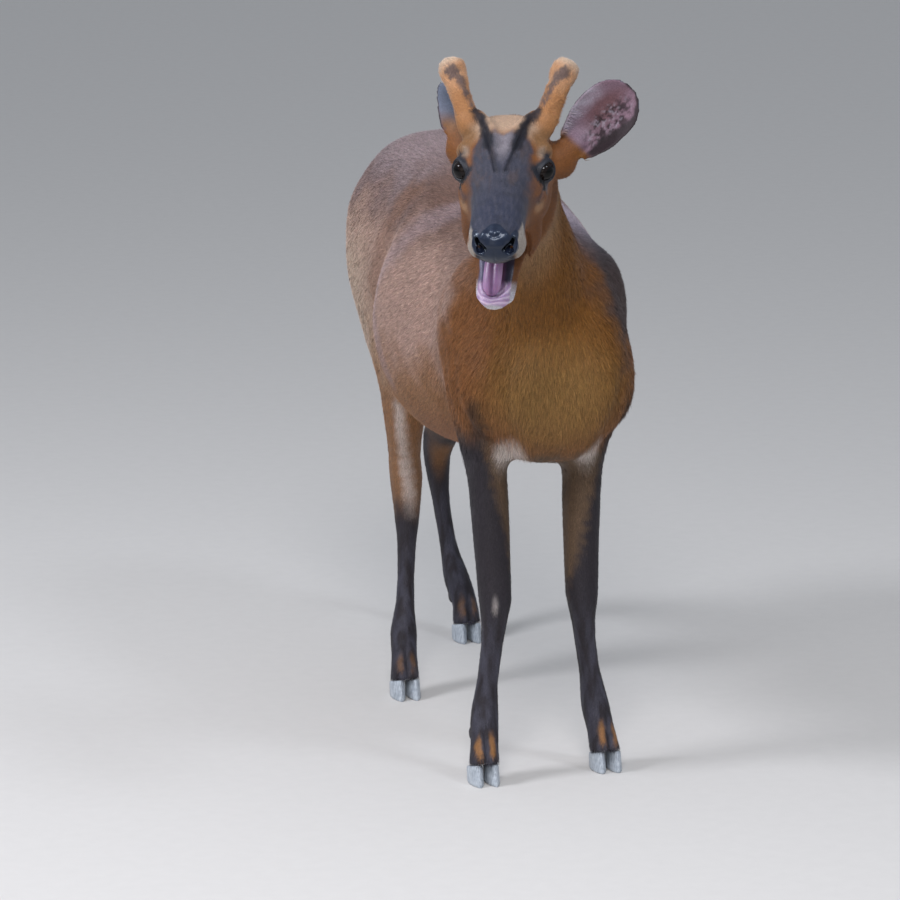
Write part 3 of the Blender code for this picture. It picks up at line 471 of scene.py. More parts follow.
def head_marks(colours, h, m, fine):
    """The face's own markings, over the rest."""
    forward = -h[:, 1] / MM
    up = h[:, 2] / MM
    out = m[:, 0] / MM
    inside = rise(out_from(h, spot(0, 20, -20), (0.075, 0.125, 0.085)), 1.12, 0.98)
    ragged = fine * 1.6 + wander(h, 0.030, 5) * 1.6
    tint(colours, inside, COAT["cheek"])
    # Painted shade: the lower cheek and the web beside the open jaw are painted a darker brown.
    tint(colours, inside * rise(up, -22, -42) * 0.7, COAT["cheek shade"])
    tint(colours, head_near(m, (30, 38, -48), (20, 42, 36), 0.6) * 0.8, COAT["cheek shade"])
    tint(colours, inside * rise(forward, -2, -22) * rise(up, 0, 14), COAT["poll"])
    tint(colours, head_near(m, (37, -20, 16), (13, 18, 15), 0.4) * inside, COAT["brow"])
    tint(colours, head_near(m, (38, 0, 17), (6, 7, 5), 0.6) * inside * 0.8, COAT["brow pale"])
    # The slate mask from the brow lines to the nose and down the sides of the muzzle.
    half = np.interp(forward, (-22, -10, 0, 12, 60, 105), (17, 26, 28.5, 27, 26.5, 26))
    low = np.interp(forward, (0, 20, 45, 70, 100, 112), (12, 2, -5, -9, -8, -4))
    top = np.interp(out, (0, 8, 16, 24, 32), (-8, -12, -10, -8, 6))
    mask = rise(out + ragged, half + 5, half - 4) * rise(up + ragged, low - 5, low + 5)
    mask *= rise(forward + ragged, top - 4, top + 5)
    verge = rise(out + ragged, half + 12, half + 3) * rise(forward, 104, 90)
    verge *= rise(forward, 5, 20) * rise(up, -22, -8)
    tint(colours, verge * inside * 0.6, COAT["mask brown"])
    tint(colours, mask * inside, COAT["mask"])
    streaks = rise(wander(h * (1, 0.25, 1), 0.012, 6) + 0.5 * wander(h, 0.006, 7), -0.1, 0.8)
    sides = rise(out, 3, 10)
    tint(colours, mask * inside * streaks * sides * rise(forward, 80, 50) * 0.7, COAT["mask brown"])
    tint(colours, mask * inside * rise(forward, 45, 90) * 0.75, COAT["mask dark"])
    between = rise(out, np.interp(forward, (-15, 3, 20, 36), (19, 12, 8, 3)), 2) * rise(forward, 30, 4)
    tint(colours, mask * inside * between * 0.8, COAT["mask pale"])
    speckle = wander(h * (1, 0.25, 1), 0.0045, 8)
    tint(colours, mask * inside * rise(speckle, -0.6, 1.2) * 0.09, COAT["mask pale"])
    tint(colours, mask * inside * rise(wander(h, 0.016, 9), 0.0, 1.0) * 0.35, COAT["lid"])
    # Dark skin round the tear gland, with a tan patch under it and a brown one at the eye's corner.
    tint(colours, head_near(m, (34, 37, -18), (6, 9, 6), 0.5) * 0.85, COAT["under eye"])
    d, _ = line_distance(m, GLAND_SLIT)
    tint(colours, rise(d + 0.8 * MM * fine, 8.5 * MM, 3.0 * MM) * 0.8, COAT["mask brown"])
    tint(colours, rise(d, 3.0 * MM, 1.6 * MM), COAT["ridge"])
    tint(colours, head_near(m, (31, 20, 7), (3.5, 6, 5), 0.5) * 0.6, COAT["lip"])
    # The brow lines: fine and soft on the face, then a broad dark band up the pedicle's inner side.
    d, along = line_distance(m, BROW_LINE)
    wide = 2.2 + 4.5 * rise(along, 0.40, 0.85)
    strength = 0.85 + 0.15 * rise(along, 0.4, 0.7)
    tint(colours, rise(d / MM + 0.7 * fine, wide + 1.6, 0.4) * strength, COAT["ridge"])
    # Pale hair behind the nose pad, and the lips.
    back_to = np.where(h[:, 0] > 0, 98, 103) + 1.5 * ragged
    pale = rise(forward, back_to - 3, back_to + 5) * rise(out, 16.5, 20.5) * rise(up, 3.5, 0.5)
    tint(colours, inside * pale * 0.9, COAT["muzzle white"])
    under = np.interp(out, *PAD_LOW)
    lip = rise(forward, 103, 108) * rise(up, under + 1, under - 0.5) * rise(out, 20, 16)
    tint(colours, inside * lip, COAT["lid"])
    d, _ = line_distance(m, MOUTH_LINE)
    tint(colours, rise(d, 6 * MM, 3 * MM) * rise(forward, 106, 90) * 0.8, COAT["lip"])
    reach, share, _ = jaw_turn(h)
    chin = rise(share, 1.12, 1.24) * rise(share, 2.1, 1.6) * rise(reach, 0.19, 0.18) * (out < 40)
    tint(colours, chin * rise(reach / MM + 2 * fine, 124, 142), COAT["chin white"])
    # Lids, bare and slate.
    for sign in SIDES.values():
        share, _, _, _, y = lid_share(h, sign)
        share = share + 0.06 * fine
        tint(colours, rise(share, 1.85, 1.45) * rise(y, 3 * MM, -4 * MM) * 0.75, COAT["lid pale"])
        tint(colours, rise(share, 1.55, 1.28), COAT["lid"])
    for side in SIDES:
        ear_marks(colours, h, side, fine)
    # Antler pedicles.
    line = spots((34.5, -37, 22), (39.5, -50, 32), (44.5, -63, 40), (53, -86, 52), (57.5, -97, 57))
    d, _ = line_distance(m, line)
    stem = rise(d, 19 * MM, 15.5 * MM) * rise(out * 0.5 - forward * 0.6 + up * 0.6, 46, 54)
    tint(colours, stem, COAT["pedicle"])
    d, _ = line_distance(m, BROW_LINE[2:] + spots((36, -58, 46)))
    tint(colours, rise(d + 1.8 * MM * fine, 8.5 * MM, 3.5 * MM) * 0.95, COAT["ridge"])


def ear_marks(colours, h, side, fine):
    """An ear: slate behind, mauve and mottled in the cup, with a dark flap along its outer edge."""
    t, v, lift = ear_share(h, side)
    on = ear_near(h, side) * rise(t, 0.02, 0.14)
    cup = on * rise(lift, -0.4 * MM, 0.4 * MM)
    edge = 1 - np.minimum(1 - np.abs(v), (1 - t) * 1.6)
    flat = np.column_stack((v, t, 0 * t))
    tint(colours, on * rise(t, 0.05, 0.35), COAT["ear back"])
    tint(colours, cup, COAT["ear in"])
    tint(colours, cup * near(flat, (-0.15, 0.62, 0), (0.34, 0.28, 1), 0.7) * 0.85, COAT["ear pink"])
    bent = h + 0.004 * np.column_stack([wander(h, 0.015, seed) for seed in (41, 42, 43)])
    blotch = near(flat, (0.30, 0.52, 0), (0.42, 0.36, 1), 0.4)
    spots = rise(wander(bent, 0.011, 12) + 0.3 * wander(h, 0.004, 14), 0.05, 0.35)
    tint(colours, cup * blotch * spots * 0.9, COAT["ear blotch"])
    folds = rise(np.abs(wander(bent, 0.016, 15)), 0.16, 0.02) * blotch
    tint(colours, cup * folds * 0.55, COAT["ear hair"])
    pale = rise(v, -0.30, -0.75) * (0.6 + 0.4 * rise(fine, -0.4, 0.4)) * rise(t, 0.85, 0.60)
    tint(colours, cup * pale * 0.85, COAT["ear hair"])
    tint(colours, cup * near(flat, (-0.10, 0.22, 0), (0.30, 0.14, 1), 0.6) * 0.15, COAT["ear hair"])
    tint(colours, on * rise(edge, 0.93, 0.99), COAT["ear rim"])
    flap = np.interp(t, (0.1, 0.35, 0.6, 0.8, 1.0), (0.55, 0.42, 0.60, 0.76, 0.60))
    tint(colours, cup * rise(v + 0.05 * fine, flap - 0.06, flap + 0.08) * 0.95, COAT["ear rim"])


# The skin.

FLESH = ["torso", "neck", "head", "jaw", "nose", "tail"]
for side in SIDES:
    FLESH += [f"pedicle_{side}", f"foreleg_{side}_upper", f"foreleg_{side}_lower",
              f"hindleg_{side}_upper", f"hindleg_{side}_lower"]
EARS = [f"ear_{side}" for side in SIDES]
SKIN_GRAIN = 2.06 * MM

EAR_LENGTH = 0.0875
EAR_HALF = 0.0320
EAR_CUP = 0.020
EAR_THICK = 0.0030
# Root, the way an ear points and the way its cup faces, in the head's own axes.
EAR_SET = {
    "left": np.array(((0.0565, 0.050, -0.015), (0.68, 0.43, 0.59), (0.20, -0.80, 0.57))),
    "right": np.array(((-0.045, 0.053, -0.010), (-0.10, 0.97, 0.12), (-0.85, -0.10, -0.50))),
}


def ear_axes(side):
    root, along, facing = EAR_SET[side]
    along = unit(along)
    facing = unit(facing - along * (facing @ along))
    return root, along, facing, np.cross(along, facing)


def ear_breadth(t):
    widest = 0.46
    low = 0.62 + 0.38 * np.sin(math.pi / 2 * np.minimum(t, widest) / widest)
    high = np.maximum(0.10, np.maximum(0, 1 - (np.maximum(t - widest, 0) / (1 - widest)) ** 2.4) ** 0.5)
    return np.where(t < widest, low, high)


def ear_point(side, t, v):
    """The middle surface of an ear at shares t of its length and v across it, in the head's axes."""
    root, along, facing, across = ear_axes(side)
    t = np.asarray(t, float)[..., None]
    v = np.asarray(v, float)[..., None]
    half = EAR_HALF * ear_breadth(t)
    cup = EAR_CUP * (1 - t) ** 0.8 + 0.003
    lift = cup * (v * v - 0.5) + 0.006 * t * t
    return (root + along * (EAR_LENGTH * (0.06 + 0.94 * t))
            + across * (half * v * (1 - 0.22 * (1 - t) * np.abs(v) ** 3)) + facing * lift)


def ear_share(h, side):
    """Shares along and across an ear for places near it, and how far they stand in front of its middle."""
    root, along, facing, across = ear_axes(side)
    out = h - root
    t = np.clip((out @ along / EAR_LENGTH - 0.06) / 0.94, 0, 1)
    v = out @ across / (EAR_HALF * ear_breadth(t))
    v = np.clip(v * (1 + 0.22 * (1 - t) * np.abs(v) ** 3), -1, 1)
    cup = EAR_CUP * (1 - t) ** 0.8 + 0.003
    return t, v, out @ facing - (cup * (v * v - 0.5) + 0.006 * t * t)


def ear_blade(side):
    """One ear's cupped blade with its thickness, and the short root that it grows from."""
    rows, columns = 46, 40
    t, v = np.meshgrid(np.sin(np.linspace(0, math.pi / 2, rows)), np.linspace(-1, 1, columns), indexing="ij")
    verts = from_head(ear_point(side, t, v).reshape(-1, 3))
    faces = [(i * columns + j, i * columns + j + 1, (i + 1) * columns + j + 1, (i + 1) * columns + j)
             for i in range(rows - 1) for j in range(columns - 1)]
    blade = mesh_object("blade", verts, faces)
    shell = blade.modifiers.new("thickness", "SOLIDIFY")
    shell.thickness = EAR_THICK
    shell.offset = 0
    settle(blade)
    root, along, facing, across = ear_axes(side)
    base = root + along * 0.004 - facing * 0.004
    rings = []
    for step, out, wide, deep in ((-0.014, 0, 0.0085, 0.0095), (0, 0, 0.0135, 0.0135),
                                  (0.012, 0.005, 0.0125, 0.0115), (0.026, 0.010, 0.006, 0.005)):
        centre = from_head((base + along * step - facing * out)[None])[0]
        rings.append((centre, HEAD_TURNING @ across * wide, HEAD_TURNING @ facing * deep))
    stem = mesh_object("stem", *tube(rings))
    return [blade, stem]


def gather(pieces):
    """All these meshes as one list of vertices and faces."""
    verts, faces = [], []
    for piece in pieces:
        base = len(verts)
        verts += [tuple(v.co) for v in piece.data.vertices]
        faces += [tuple(base + i for i in f.vertices) for f in piece.data.polygons]
    return verts, faces


def only_largest(mesh):
    """Drops every closed surface but the largest."""
    pairs = edges_of(mesh)
    label = np.arange(len(mesh.vertices))
    while True:
        low = label.copy()
        np.minimum.at(low, pairs[:, 0], label[pairs[:, 1]])
        np.minimum.at(low, pairs[:, 1], label[pairs[:, 0]])
        low = low[low]
        low = low[low]
        if (low == label).all():
            break
        label = low
    keep = label == np.bincount(label).argmax()
    if keep.all():
        return
    bm = bmesh.new()
    bm.from_mesh(mesh)
    bm.verts.ensure_lookup_table()
    bmesh.ops.delete(bm, geom=[bm.verts[i] for i in np.nonzero(~keep)[0]], context="VERTS")
    bm.to_mesh(mesh)
    bm.free()


def split_finer(mesh, wanted):
    """Cuts each chosen face in four."""
    bm = bmesh.new()
    bm.from_mesh(mesh)
    bm.faces.ensure_lookup_table()
    edges = {e for i in np.nonzero(wanted)[0] for e in bm.faces[i].edges}
    bmesh.ops.subdivide_edges(bm, edges=list(edges), cuts=1, use_grid_fill=True)
    bmesh.ops.triangulate(bm, faces=[f for f in bm.faces if len(f.verts) > 4])
    bm.to_mesh(mesh)
    bm.free()


def face_middles(mesh):
    return values_of(mesh.polygons, "center", 3)


def skin_body():
    """The flesh of all the nodes melted into one closed skin and smoothed."""
    pieces = [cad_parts[n] for n in FLESH + [f"eye_{side}" for side in SIDES]]
    blades = [piece for side in SIDES for piece in ear_blade(side)]
    skin = mesh_object("skin", *gather(pieces + blades))
    for blade in blades:
        bpy.data.objects.remove(blade)
    mesh = remeshed(skin, SKIN_GRAIN)
    only_largest(mesh)
    places = places_of(mesh)
    h = to_head(places)
    p = to_deer(places)
    head = rise(out_from(h, spot(0, 25, -25), (0.085, 0.115, 0.085)), 1.15, 0.95)
    ears = ears_near(h)
    trunk = rise(p[:, 2], 0.26, 0.36)
    weight = 0.03 + 0.5 * trunk * (1 - head)
    weight = np.where(head > 0.5, 0.022, weight)
    # The web of the cheek, the root of the ears and the chin are rounder.
    m = mirrored(h)
    reach, share, _ = jaw_turn(h)
    weight += 0.16 * head_near(m, (28, 38, -45), (16, 42, 34), 0.4) * rise(reach, 0.115, 0.095)
    weight += 0.12 * head_near(m, (50, -45, -18), (20, 26, 22), 0.4)
    weight += 0.10 * rise(reach, 0.140, 0.152) * rise(share, 1.1, 1.4) * (np.linalg.norm(h, axis=1) < 0.2)
    weight *= 1 - 0.97 * ears
    smoothed(mesh, weight, 100)
    return skin


def ear_near(h, side):
    """1 on an ear's blade, 0 away from it."""
    root, along, facing, across = ear_axes(side)
    out = h - root
    t = out @ along / EAR_LENGTH
    return rise(t, 0.02, 0.16) * (np.abs(out @ across) < 0.045) * (np.abs(out @ facing) < 0.032)


def ears_near(h):
    """The same for both ears."""
    return np.maximum(*[ear_near(h, side) for side in SIDES])


def skin_depth(places):
    """How far the skin lies inside the solids, for the coat to fill."""
    h = to_head(places)
    p = to_deer(places)
    depth = 0.0010 + 0.0020 * rise(p[:, 2], 0.24, 0.36)
    head = rise(out_from(h, spot(0, 30, -25), (0.085, 0.13, 0.09)), 1.15, 0.95)
    depth = depth + head * (0.0006 - depth)
    ears = ears_near(h)
    return depth * (1 - ears) + 0.0002 * ears


def sculpt_head(skin):
    """Lids, brow lines, gland slits, nostrils, lips and the folds of the face."""
    mesh = skin.data
    places = places_of(mesh)
    normals = normals_of(mesh) @ HEAD_TURNING
    h = to_head(places)
    m = mirrored(h)
    sunk = np.zeros(len(h))

    def groove(line, depth, width, edge=0.0):
        d, _ = line_distance(m, line)
        sunk[:] += depth * np.exp(-(d / width) ** 2) - edge * np.exp(-((d - 2 * width) / width) ** 2)

    groove(BROW_LINE[:4], 1.5 * MM, 1.4 * MM, 0.5 * MM)
    groove(GLAND_SLIT, 3.0 * MM, 1.7 * MM, 0.7 * MM)
    groove(spots((0, 129, -8), (0, 126, -26)), 0.5 * MM, 1.2 * MM)
    # Folds beside the nose and round the mouth's corner.
    groove(spots((17, 113, 6), (22, 109, -2), (23, 109, -14)), 0.8 * MM, 2.0 * MM)
    # The dome of the nose: a lobe on top, one over each nostril, the hollow between them and a rim below.
    groove(spots((0, 113, 10), (0, 118, 8.5)), -1.5 * MM, 4.6 * MM)
    groove(spots((10.5, 119.5, 5), (12.5, 122, 2.5)), -1.5 * MM, 3.6 * MM)
    groove(spots((0, 124.5, 5.0), (4.0, 122.5, 6.0)), 1.0 * MM, 2.4 * MM)
    groove(spots((0, 128, -2.0), (7, 127.6, -2.5)), -1.0 * MM, 2.4 * MM)
    # The cheek, full beside the open jaw.
    d, _ = line_distance(m, spots((30, 26, -14), (27, 30, -40), (24, 30, -56)))
    outward = rise(normals[:, 0] * np.sign(h[:, 0]), 0.0, 0.5) * (np.linalg.norm(h, axis=1) < 0.12)
    sunk -= 6.5 * MM * np.exp(-(d / (18 * MM)) ** 2) * outward
    # The wings round the nostrils, and the crease under each.
    groove(spots((20.0, 117.5, 1.0), (21.5, 120.5, -5.0), (19.0, 125, -10.5), (13, 127, -13)),
           -1.5 * MM, 2.1 * MM)
    groove(spots((21.5, 117, -13), (14, 126, -17.5)), 0.7 * MM, 1.7 * MM)
    # Veins and the bone under the thin skin of the face.
    groove(spots((20, 60, 6), (19, 76, 3), (18, 92, 1)), -0.7 * MM, 1.8 * MM)
    h -= normals * sunk[:, None]
    # Nostrils: a comma, dug in toward the back of the nose.
    d, along = line_distance(m, NOSTRIL)
    wide = (2.6 - 1.0 * np.abs(along - 0.35)) * MM
    dig = rise(d, wide * 1.3, wide * 0.4) * rise(-h[:, 1], 0.108, 0.114) * 6.5 * MM
    inward = np.column_stack((-0.15 * np.sign(h[:, 0]), np.ones(len(h)), np.full(len(h), 0.15)))
    h += dig[:, None] * unit(inward)
    # Lids: the opening sinks behind the eyeball and the rims stand over it.
    for sign in SIDES.values():
        centre = eye_axes(sign)[0]
        share, reach, ray, _, y = lid_share(h, sign)
        rim = EYE_RADIUS + 1.5 * MM - 0.5 * MM * rise(share, 1.15, 1.4)
        inside = EYE_RADIUS - 3.2 * MM
        wanted = inside + (rim - inside) * rise(share, 0.86, 1.0)
        # A crease over the upper lid and a softer one below.
        crease = np.exp(-((share - 1.55) / 0.10) ** 2) * rise(y, -2 * MM, 5 * MM) * 1.1 * MM
        crease += np.exp(-((share - 1.45) / 0.10) ** 2) * rise(y, 2 * MM, -5 * MM) * 0.6 * MM
        brow = np.exp(-((share - 1.85) / 0.22) ** 2) * rise(y, 0, 6 * MM) * 1.0 * MM
        close = rise(reach, 25 * MM, 18 * MM)
        hold = rise(share, 1.75, 1.2) * close
        new_reach = reach + hold * (wanted - reach) + (brow - crease) * close
        move = (share < 2.4) & (close > 0)
        h[move] = centre + (ray / EYE_RADIUS * new_reach[:, None])[move]
    # Ridges of the gum inside the lower lip.
    reach, share, side = jaw_turn(h)
    gum = mouth_lining(h) * rise(share, 1.15, 1.28) * rise(reach, 0.126, 0.136)
    h[:, 2] += gum * np.sin(gum_rings(reach, side)) * 0.45 * MM
    put_places(mesh, from_head(h))


# Folds of the hide, in millimetres in the deer's frame for one side: a line, its depth, width and swell.
FOLDS = (
    # In front of the thigh, from the loin to the fold of the flank.
    (((70, 250, 545), (88, 262, 500), (95, 292, 462), (93, 325, 420), (80, 330, 375), (70, 310, 345)),
     6, 20, 1.5),
    # Behind the shoulder, and the bend of the upper arm.
    (((60, 125, 545), (85, 120, 490), (92, 100, 430), (85, 85, 370), (70, 75, 335)), 2, 15, 0.7),
    (((86, 20, 440), (84, 12, 405), (78, 0, 370), (66, -6, 335)), 1.7, 7, 1),
    # Between the breast and the arm, and the edge of the neck on the shoulder.
    (((58, -52, 440), (56, -56, 405), (48, -48, 370), (40, -30, 345)), 2.2, 9, 0.8),
    (((30, -62, 540), (50, -45, 500), (64, -30, 455), (68, -25, 420)), 1.8, 11, 0.8),
    # The thigh's muscle along the back.
    (((75, 470, 470), (78, 450, 420), (62, 425, 350)), 1.6, 9, 0.8),
)


def sculpt_body(mesh):
    """Folds of the hide and the muscles under it: flank, thigh, shoulders and chest."""
    places = places_of(mesh)
    normals = normals_of(mesh)
    p = to_deer(places)
    sunk = np.zeros(len(p))
    for sign in SIDES.values():
        for line, depth, width, swell in FOLDS:
            d, along = line_distance(p, np.array(line) * (sign, 1, 1) * MM)
            out = d / (width * MM)
            shape = depth * np.exp(-out ** 2) - swell * np.exp(-(out - 2.2) ** 2)
            sunk += rise(along, 0.0, 0.15) * rise(along, 1.0, 0.85) * shape * MM
    # The cleft between the toes, in front of each pastern and behind it.
    for foot in FEET:
        ahead = p[:, 1] - foot.y
        here = (np.abs(p[:, 0] - foot.x) < 0.02) & (np.abs(ahead) < 0.04)
        cleft = np.exp(-((p[:, 0] - foot.x) / (2.2 * MM)) ** 2) * rise(p[:, 2], 0.068, 0.036) * here
        sunk += cleft * 2.6 * MM * rise(np.abs(normals[:, 1]), 0.2, 0.6)
    places -= normals * sunk[:, None]
    put_places(mesh, places)


def bare_share(h):
    """1 where the head has no coat: lids' edge, nose pad, gland slits and the mouth's lining."""
    m = mirrored(h)
    bare = nose_pad(h)
    bare = np.maximum(bare, mouth_lining(h))
    for sign in SIDES.values():
        bare = np.maximum(bare, rise(lid_share(h, sign)[0], 1.34, 1.22))
    bare = np.maximum(bare, rise(line_distance(m, GLAND_SLIT)[0], 2.4 * MM, 1.5 * MM))
    return np.maximum(bare, rise(antler_height(m), 0.085, 0.090))


def antler_height(m):
    """How far up the pedicle and antler a place is, in metres from between the eyes."""
    return (m[:, 0] * 0.5 + m[:, 1] * 0.6 + m[:, 2] * 0.6) * (m[:, 2] > 0.02)


def nostril(h, spare=0.0):
    """1 in the nostrils and on the walls of the hollow behind them, and as far round them as spare."""
    m = mirrored(h)
    hollow = head_near(m, (12, 104, -5), (9, 12, 6), 0.15)
    line = [point * (1, 0, 1) for point in NOSTRIL]
    opening = rise(line_distance(m * (1, 0, 1), line)[0] - spare, 3.3 * MM, 2.0 * MM)
    return np.maximum(opening * rise(-h[:, 1], 0.080, 0.085), hollow)


def nose_pad(h):
    """1 on the wet leather of the nose."""
    out = np.abs(h[:, 0]) / MM
    forward = -h[:, 1] / MM
    up = h[:, 2] / MM
    top = np.interp(out, (0, 5, 9.5, 14, 17, 20, 23), (110, 111, 115, 118.5, 118, 116.5, 119))
    low = np.interp(out, *PAD_LOW)
    pad = rise(forward, top - 0.8, top + 0.8) * rise(up, low - 0.8, low + 0.8) * rise(out, 23.5, 21.5)
    return np.maximum(pad, nostril(h, 2.0 * MM))


# The hollow of the mouth: reach from the jaw's hinge, half width, and the gape's share at its roof and floor.
MOUTH_STATIONS = np.array((
    (0.0550, 0.0060, 1.07, 1.95), (0.0700, 0.0120, 0.84, 1.74), (0.0935, 0.0165, 0.55, 1.55),
    (0.1175, 0.0165, 0.33, 1.44), (0.1390, 0.0155, 0.22, 1.40), (0.1475, 0.0160, 0.18, 1.40),
    (0.1560, 0.0125, 0.18, 1.40), (0.1600, 0.0080, 0.18, 1.40),
)).T


def mouth_lining(h):
    """1 on the wet lining of the open mouth."""
    reach, share, side = jaw_turn(h)
    half, roof, floor = (np.interp(reach, MOUTH_STATIONS[0], row) for row in MOUTH_STATIONS[1:])
    spare = 1.4 * MM / (reach * JAW_OPEN)
    across = rise(np.abs(side + 1.2 * MM), half + 0.8 * MM, half - 0.4 * MM)
    high = rise(share, roof - 1.5 * spare, roof) * rise(share, floor + 1.6 * spare, floor + 0.4 * spare)
    return across * high * rise(reach, 0.1558, 0.1534) * rise(reach, 0.046, 0.052)


def lining_colours(h, colours, weight):
    """Palate, cheeks, floor of the mouth and the ridged pink gum inside the lower lip, with painted light and
    shade.
    """
    reach, share, side = jaw_turn(h)
    inner = np.tile(LINING["palate"], (len(h), 1))
    # Painted light and shade: the right cheek wall is painted pale as lit, the left one dark as shaded, and
    # the deep mouth and the roof dark as shade.
    tint(inner, rise(side, -4 * MM, -11 * MM), LINING["lit cheek wall"])
    tint(inner, rise(side, 4 * MM, 10 * MM), LINING["shaded cheek wall"])
    tint(inner, rise(reach, 0.105, 0.080) * 0.9, LINING["deep"])
    tint(inner, rise(share, 0.50, 0.30) * 0.6, LINING["deep"])
    gum = rise(share, 1.15, 1.28) * rise(reach, 0.126, 0.136)
    tint(inner, gum, LINING["floor"])
    # Painted light and shade on the gum's ridges: their crests paler as lit, the folds between them darker as
    # shade.
    tint(inner, gum * rise(np.sin(gum_rings(reach, side)), 0.0, 0.9) * 0.8, LINING["ridge"])
    tint(inner, gum * rise(np.sin(gum_rings(reach, side)), -0.4, -1.0) * 0.5, LINING["fold"])
    colours += weight[:, None] * (inner - colours)


def gum_rings(reach, side):
    """Turns of the ridges that run round inside the lower lip, one for each 4.2 mm."""
    waver = np.sin(side / 0.0041) * 0.7 + np.sin(side / 0.0023 + reach / 0.003) * 0.4
    return np.hypot(side * 0.85, reach - 0.132) / (4.2 * MM) * 2 * math.pi + 1.2 + waver


# Materials.

def new_material(name):
    material = bpy.data.materials.new(name)
    material.use_nodes = True
    tree = material.node_tree
    return material, tree, tree.nodes["Principled BSDF"]


def add(tree, kind, links=(), **settings):
    """One node of a kind, with its settings, inputs by name and links from other nodes' outputs."""
    node = tree.nodes.new(kind)
    for key, value in settings.items():
        if hasattr(node, key):
            setattr(node, key, value)
        else:
            node.inputs[key.replace("_", " ")].default_value = value
    for socket, source in links:
        tree.links.new(source, node.inputs[socket])
    return node


def set_shader(shader, **values):
    for key, value in values.items():
        shader.inputs[key.replace("_", " ")].default_value = value


def hair_finish(name, roughness, sheen, grain_mm, contrast):
    """Deer hair: keratin shafts with a dull wax gloss, so it has a soft streaked sheen and no mirror."""
    material, tree, shader = new_material(name)
    set_shader(shader, Roughness=roughness, IOR=1.55, Sheen_Weight=sheen, Sheen_Roughness=0.45)
    shader.inputs["Specular IOR Level"].default_value = 0.25
    own = add(tree, "ShaderNodeAttribute", attribute_name="coat_colour")
    place = add(tree, "ShaderNodeTexCoord")
    grain = add(tree, "ShaderNodeTexNoise", [("Vector", place.outputs["Object"])],
                Scale=1 / (grain_mm * MM), Detail=4.0, Roughness=0.6)
    level = add(tree, "ShaderNodeMapRange", [("Value", grain.outputs["Fac"])],
                From_Min=0.3, From_Max=0.7, To_Min=1 - contrast, To_Max=1 + contrast)
    shade = add(tree, "ShaderNodeVectorMath", [(0, own.outputs["Color"]), ("Scale", level.outputs["Result"])],
                operation="SCALE")
    tree.links.new(shade.outputs["Vector"], shader.inputs["Base Color"])
    bump = add(tree, "ShaderNodeBump", [("Height", grain.outputs["Fac"])], Distance=0.0004, Strength=0.5)
    tree.links.new(bump.outputs["Normal"], shader.inputs["Normal"])
    return material


def wet_finish(name, roughness, cell_mm, bump_mm, gleam=(1, 1, 1), subsurface=0.0, coat=0.0):
    """Wet bare skin: a film of water over fine cells, so it shines in small broken lights."""
    material, tree, shader = new_material(name)
    set_shader(shader, IOR=1.4, Coat_Weight=coat, Coat_Roughness=0.22, Specular_Tint=(*gleam, 1))
    if subsurface:
        shader.inputs["Subsurface Weight"].default_value = subsurface
        shader.inputs["Subsurface Radius"].default_value = (0.004, 0.0015, 0.001)
        shader.inputs["Subsurface Scale"].default_value = 1.0
    place = add(tree, "ShaderNodeTexCoord")
    own = add(tree, "ShaderNodeAttribute", attribute_name="coat_colour").outputs["Color"]
    blotch = add(tree, "ShaderNodeTexNoise", [("Vector", place.outputs["Object"])],
                 Scale=1 / (6 * MM), Detail=3.0)
    level = add(tree, "ShaderNodeMapRange", [("Value", blotch.outputs["Fac"])], To_Min=0.75, To_Max=1.25)
    shade = add(tree, "ShaderNodeVectorMath", [(0, own), ("Scale", level.outputs["Result"])],
                operation="SCALE")
    tree.links.new(shade.outputs["Vector"], shader.inputs["Base Color"])
    cells = add(tree, "ShaderNodeTexVoronoi", [("Vector", place.outputs["Object"])],
                feature="SMOOTH_F1", Scale=1 / (cell_mm * MM))
    gloss = add(tree, "ShaderNodeMapRange", [("Value", cells.outputs["Distance"])],
                To_Min=roughness, To_Max=roughness + 0.18)
    tree.links.new(gloss.outputs["Result"], shader.inputs["Roughness"])
    bump = add(tree, "ShaderNodeBump", [("Height", cells.outputs["Distance"])],
               Distance=bump_mm * MM, Strength=0.6, invert=True)
    tree.links.new(bump.outputs["Normal"], shader.inputs["Normal"])
    return material


def eye_finish():
    """A live eye: a clear wet cornea over a near black-brown iris, with one long dark pupil."""
    material, tree, shader = new_material("eye_under_cornea")
    set_shader(shader, Roughness=0.2, IOR=1.38, Coat_Weight=0.75, Coat_IOR=1.36, Coat_Roughness=0.03)
    shader.inputs["Specular IOR Level"].default_value = 0.0
    own = add(tree, "ShaderNodeAttribute", attribute_name="coat_colour")
    place = add(tree, "ShaderNodeTexCoord")
    fibres = add(tree, "ShaderNodeTexNoise", [("Vector", place.outputs["Object"])],
                 Scale=1 / (1.2 * MM), Detail=5.0)
    level = add(tree, "ShaderNodeMapRange", [("Value", fibres.outputs["Fac"])], To_Min=0.5, To_Max=1.5)
    shade = add(tree, "ShaderNodeVectorMath", [(0, own.outputs["Color"]), ("Scale", level.outputs["Result"])],
                operation="SCALE")
    tree.links.new(shade.outputs["Vector"], shader.inputs["Base Color"])
    return material


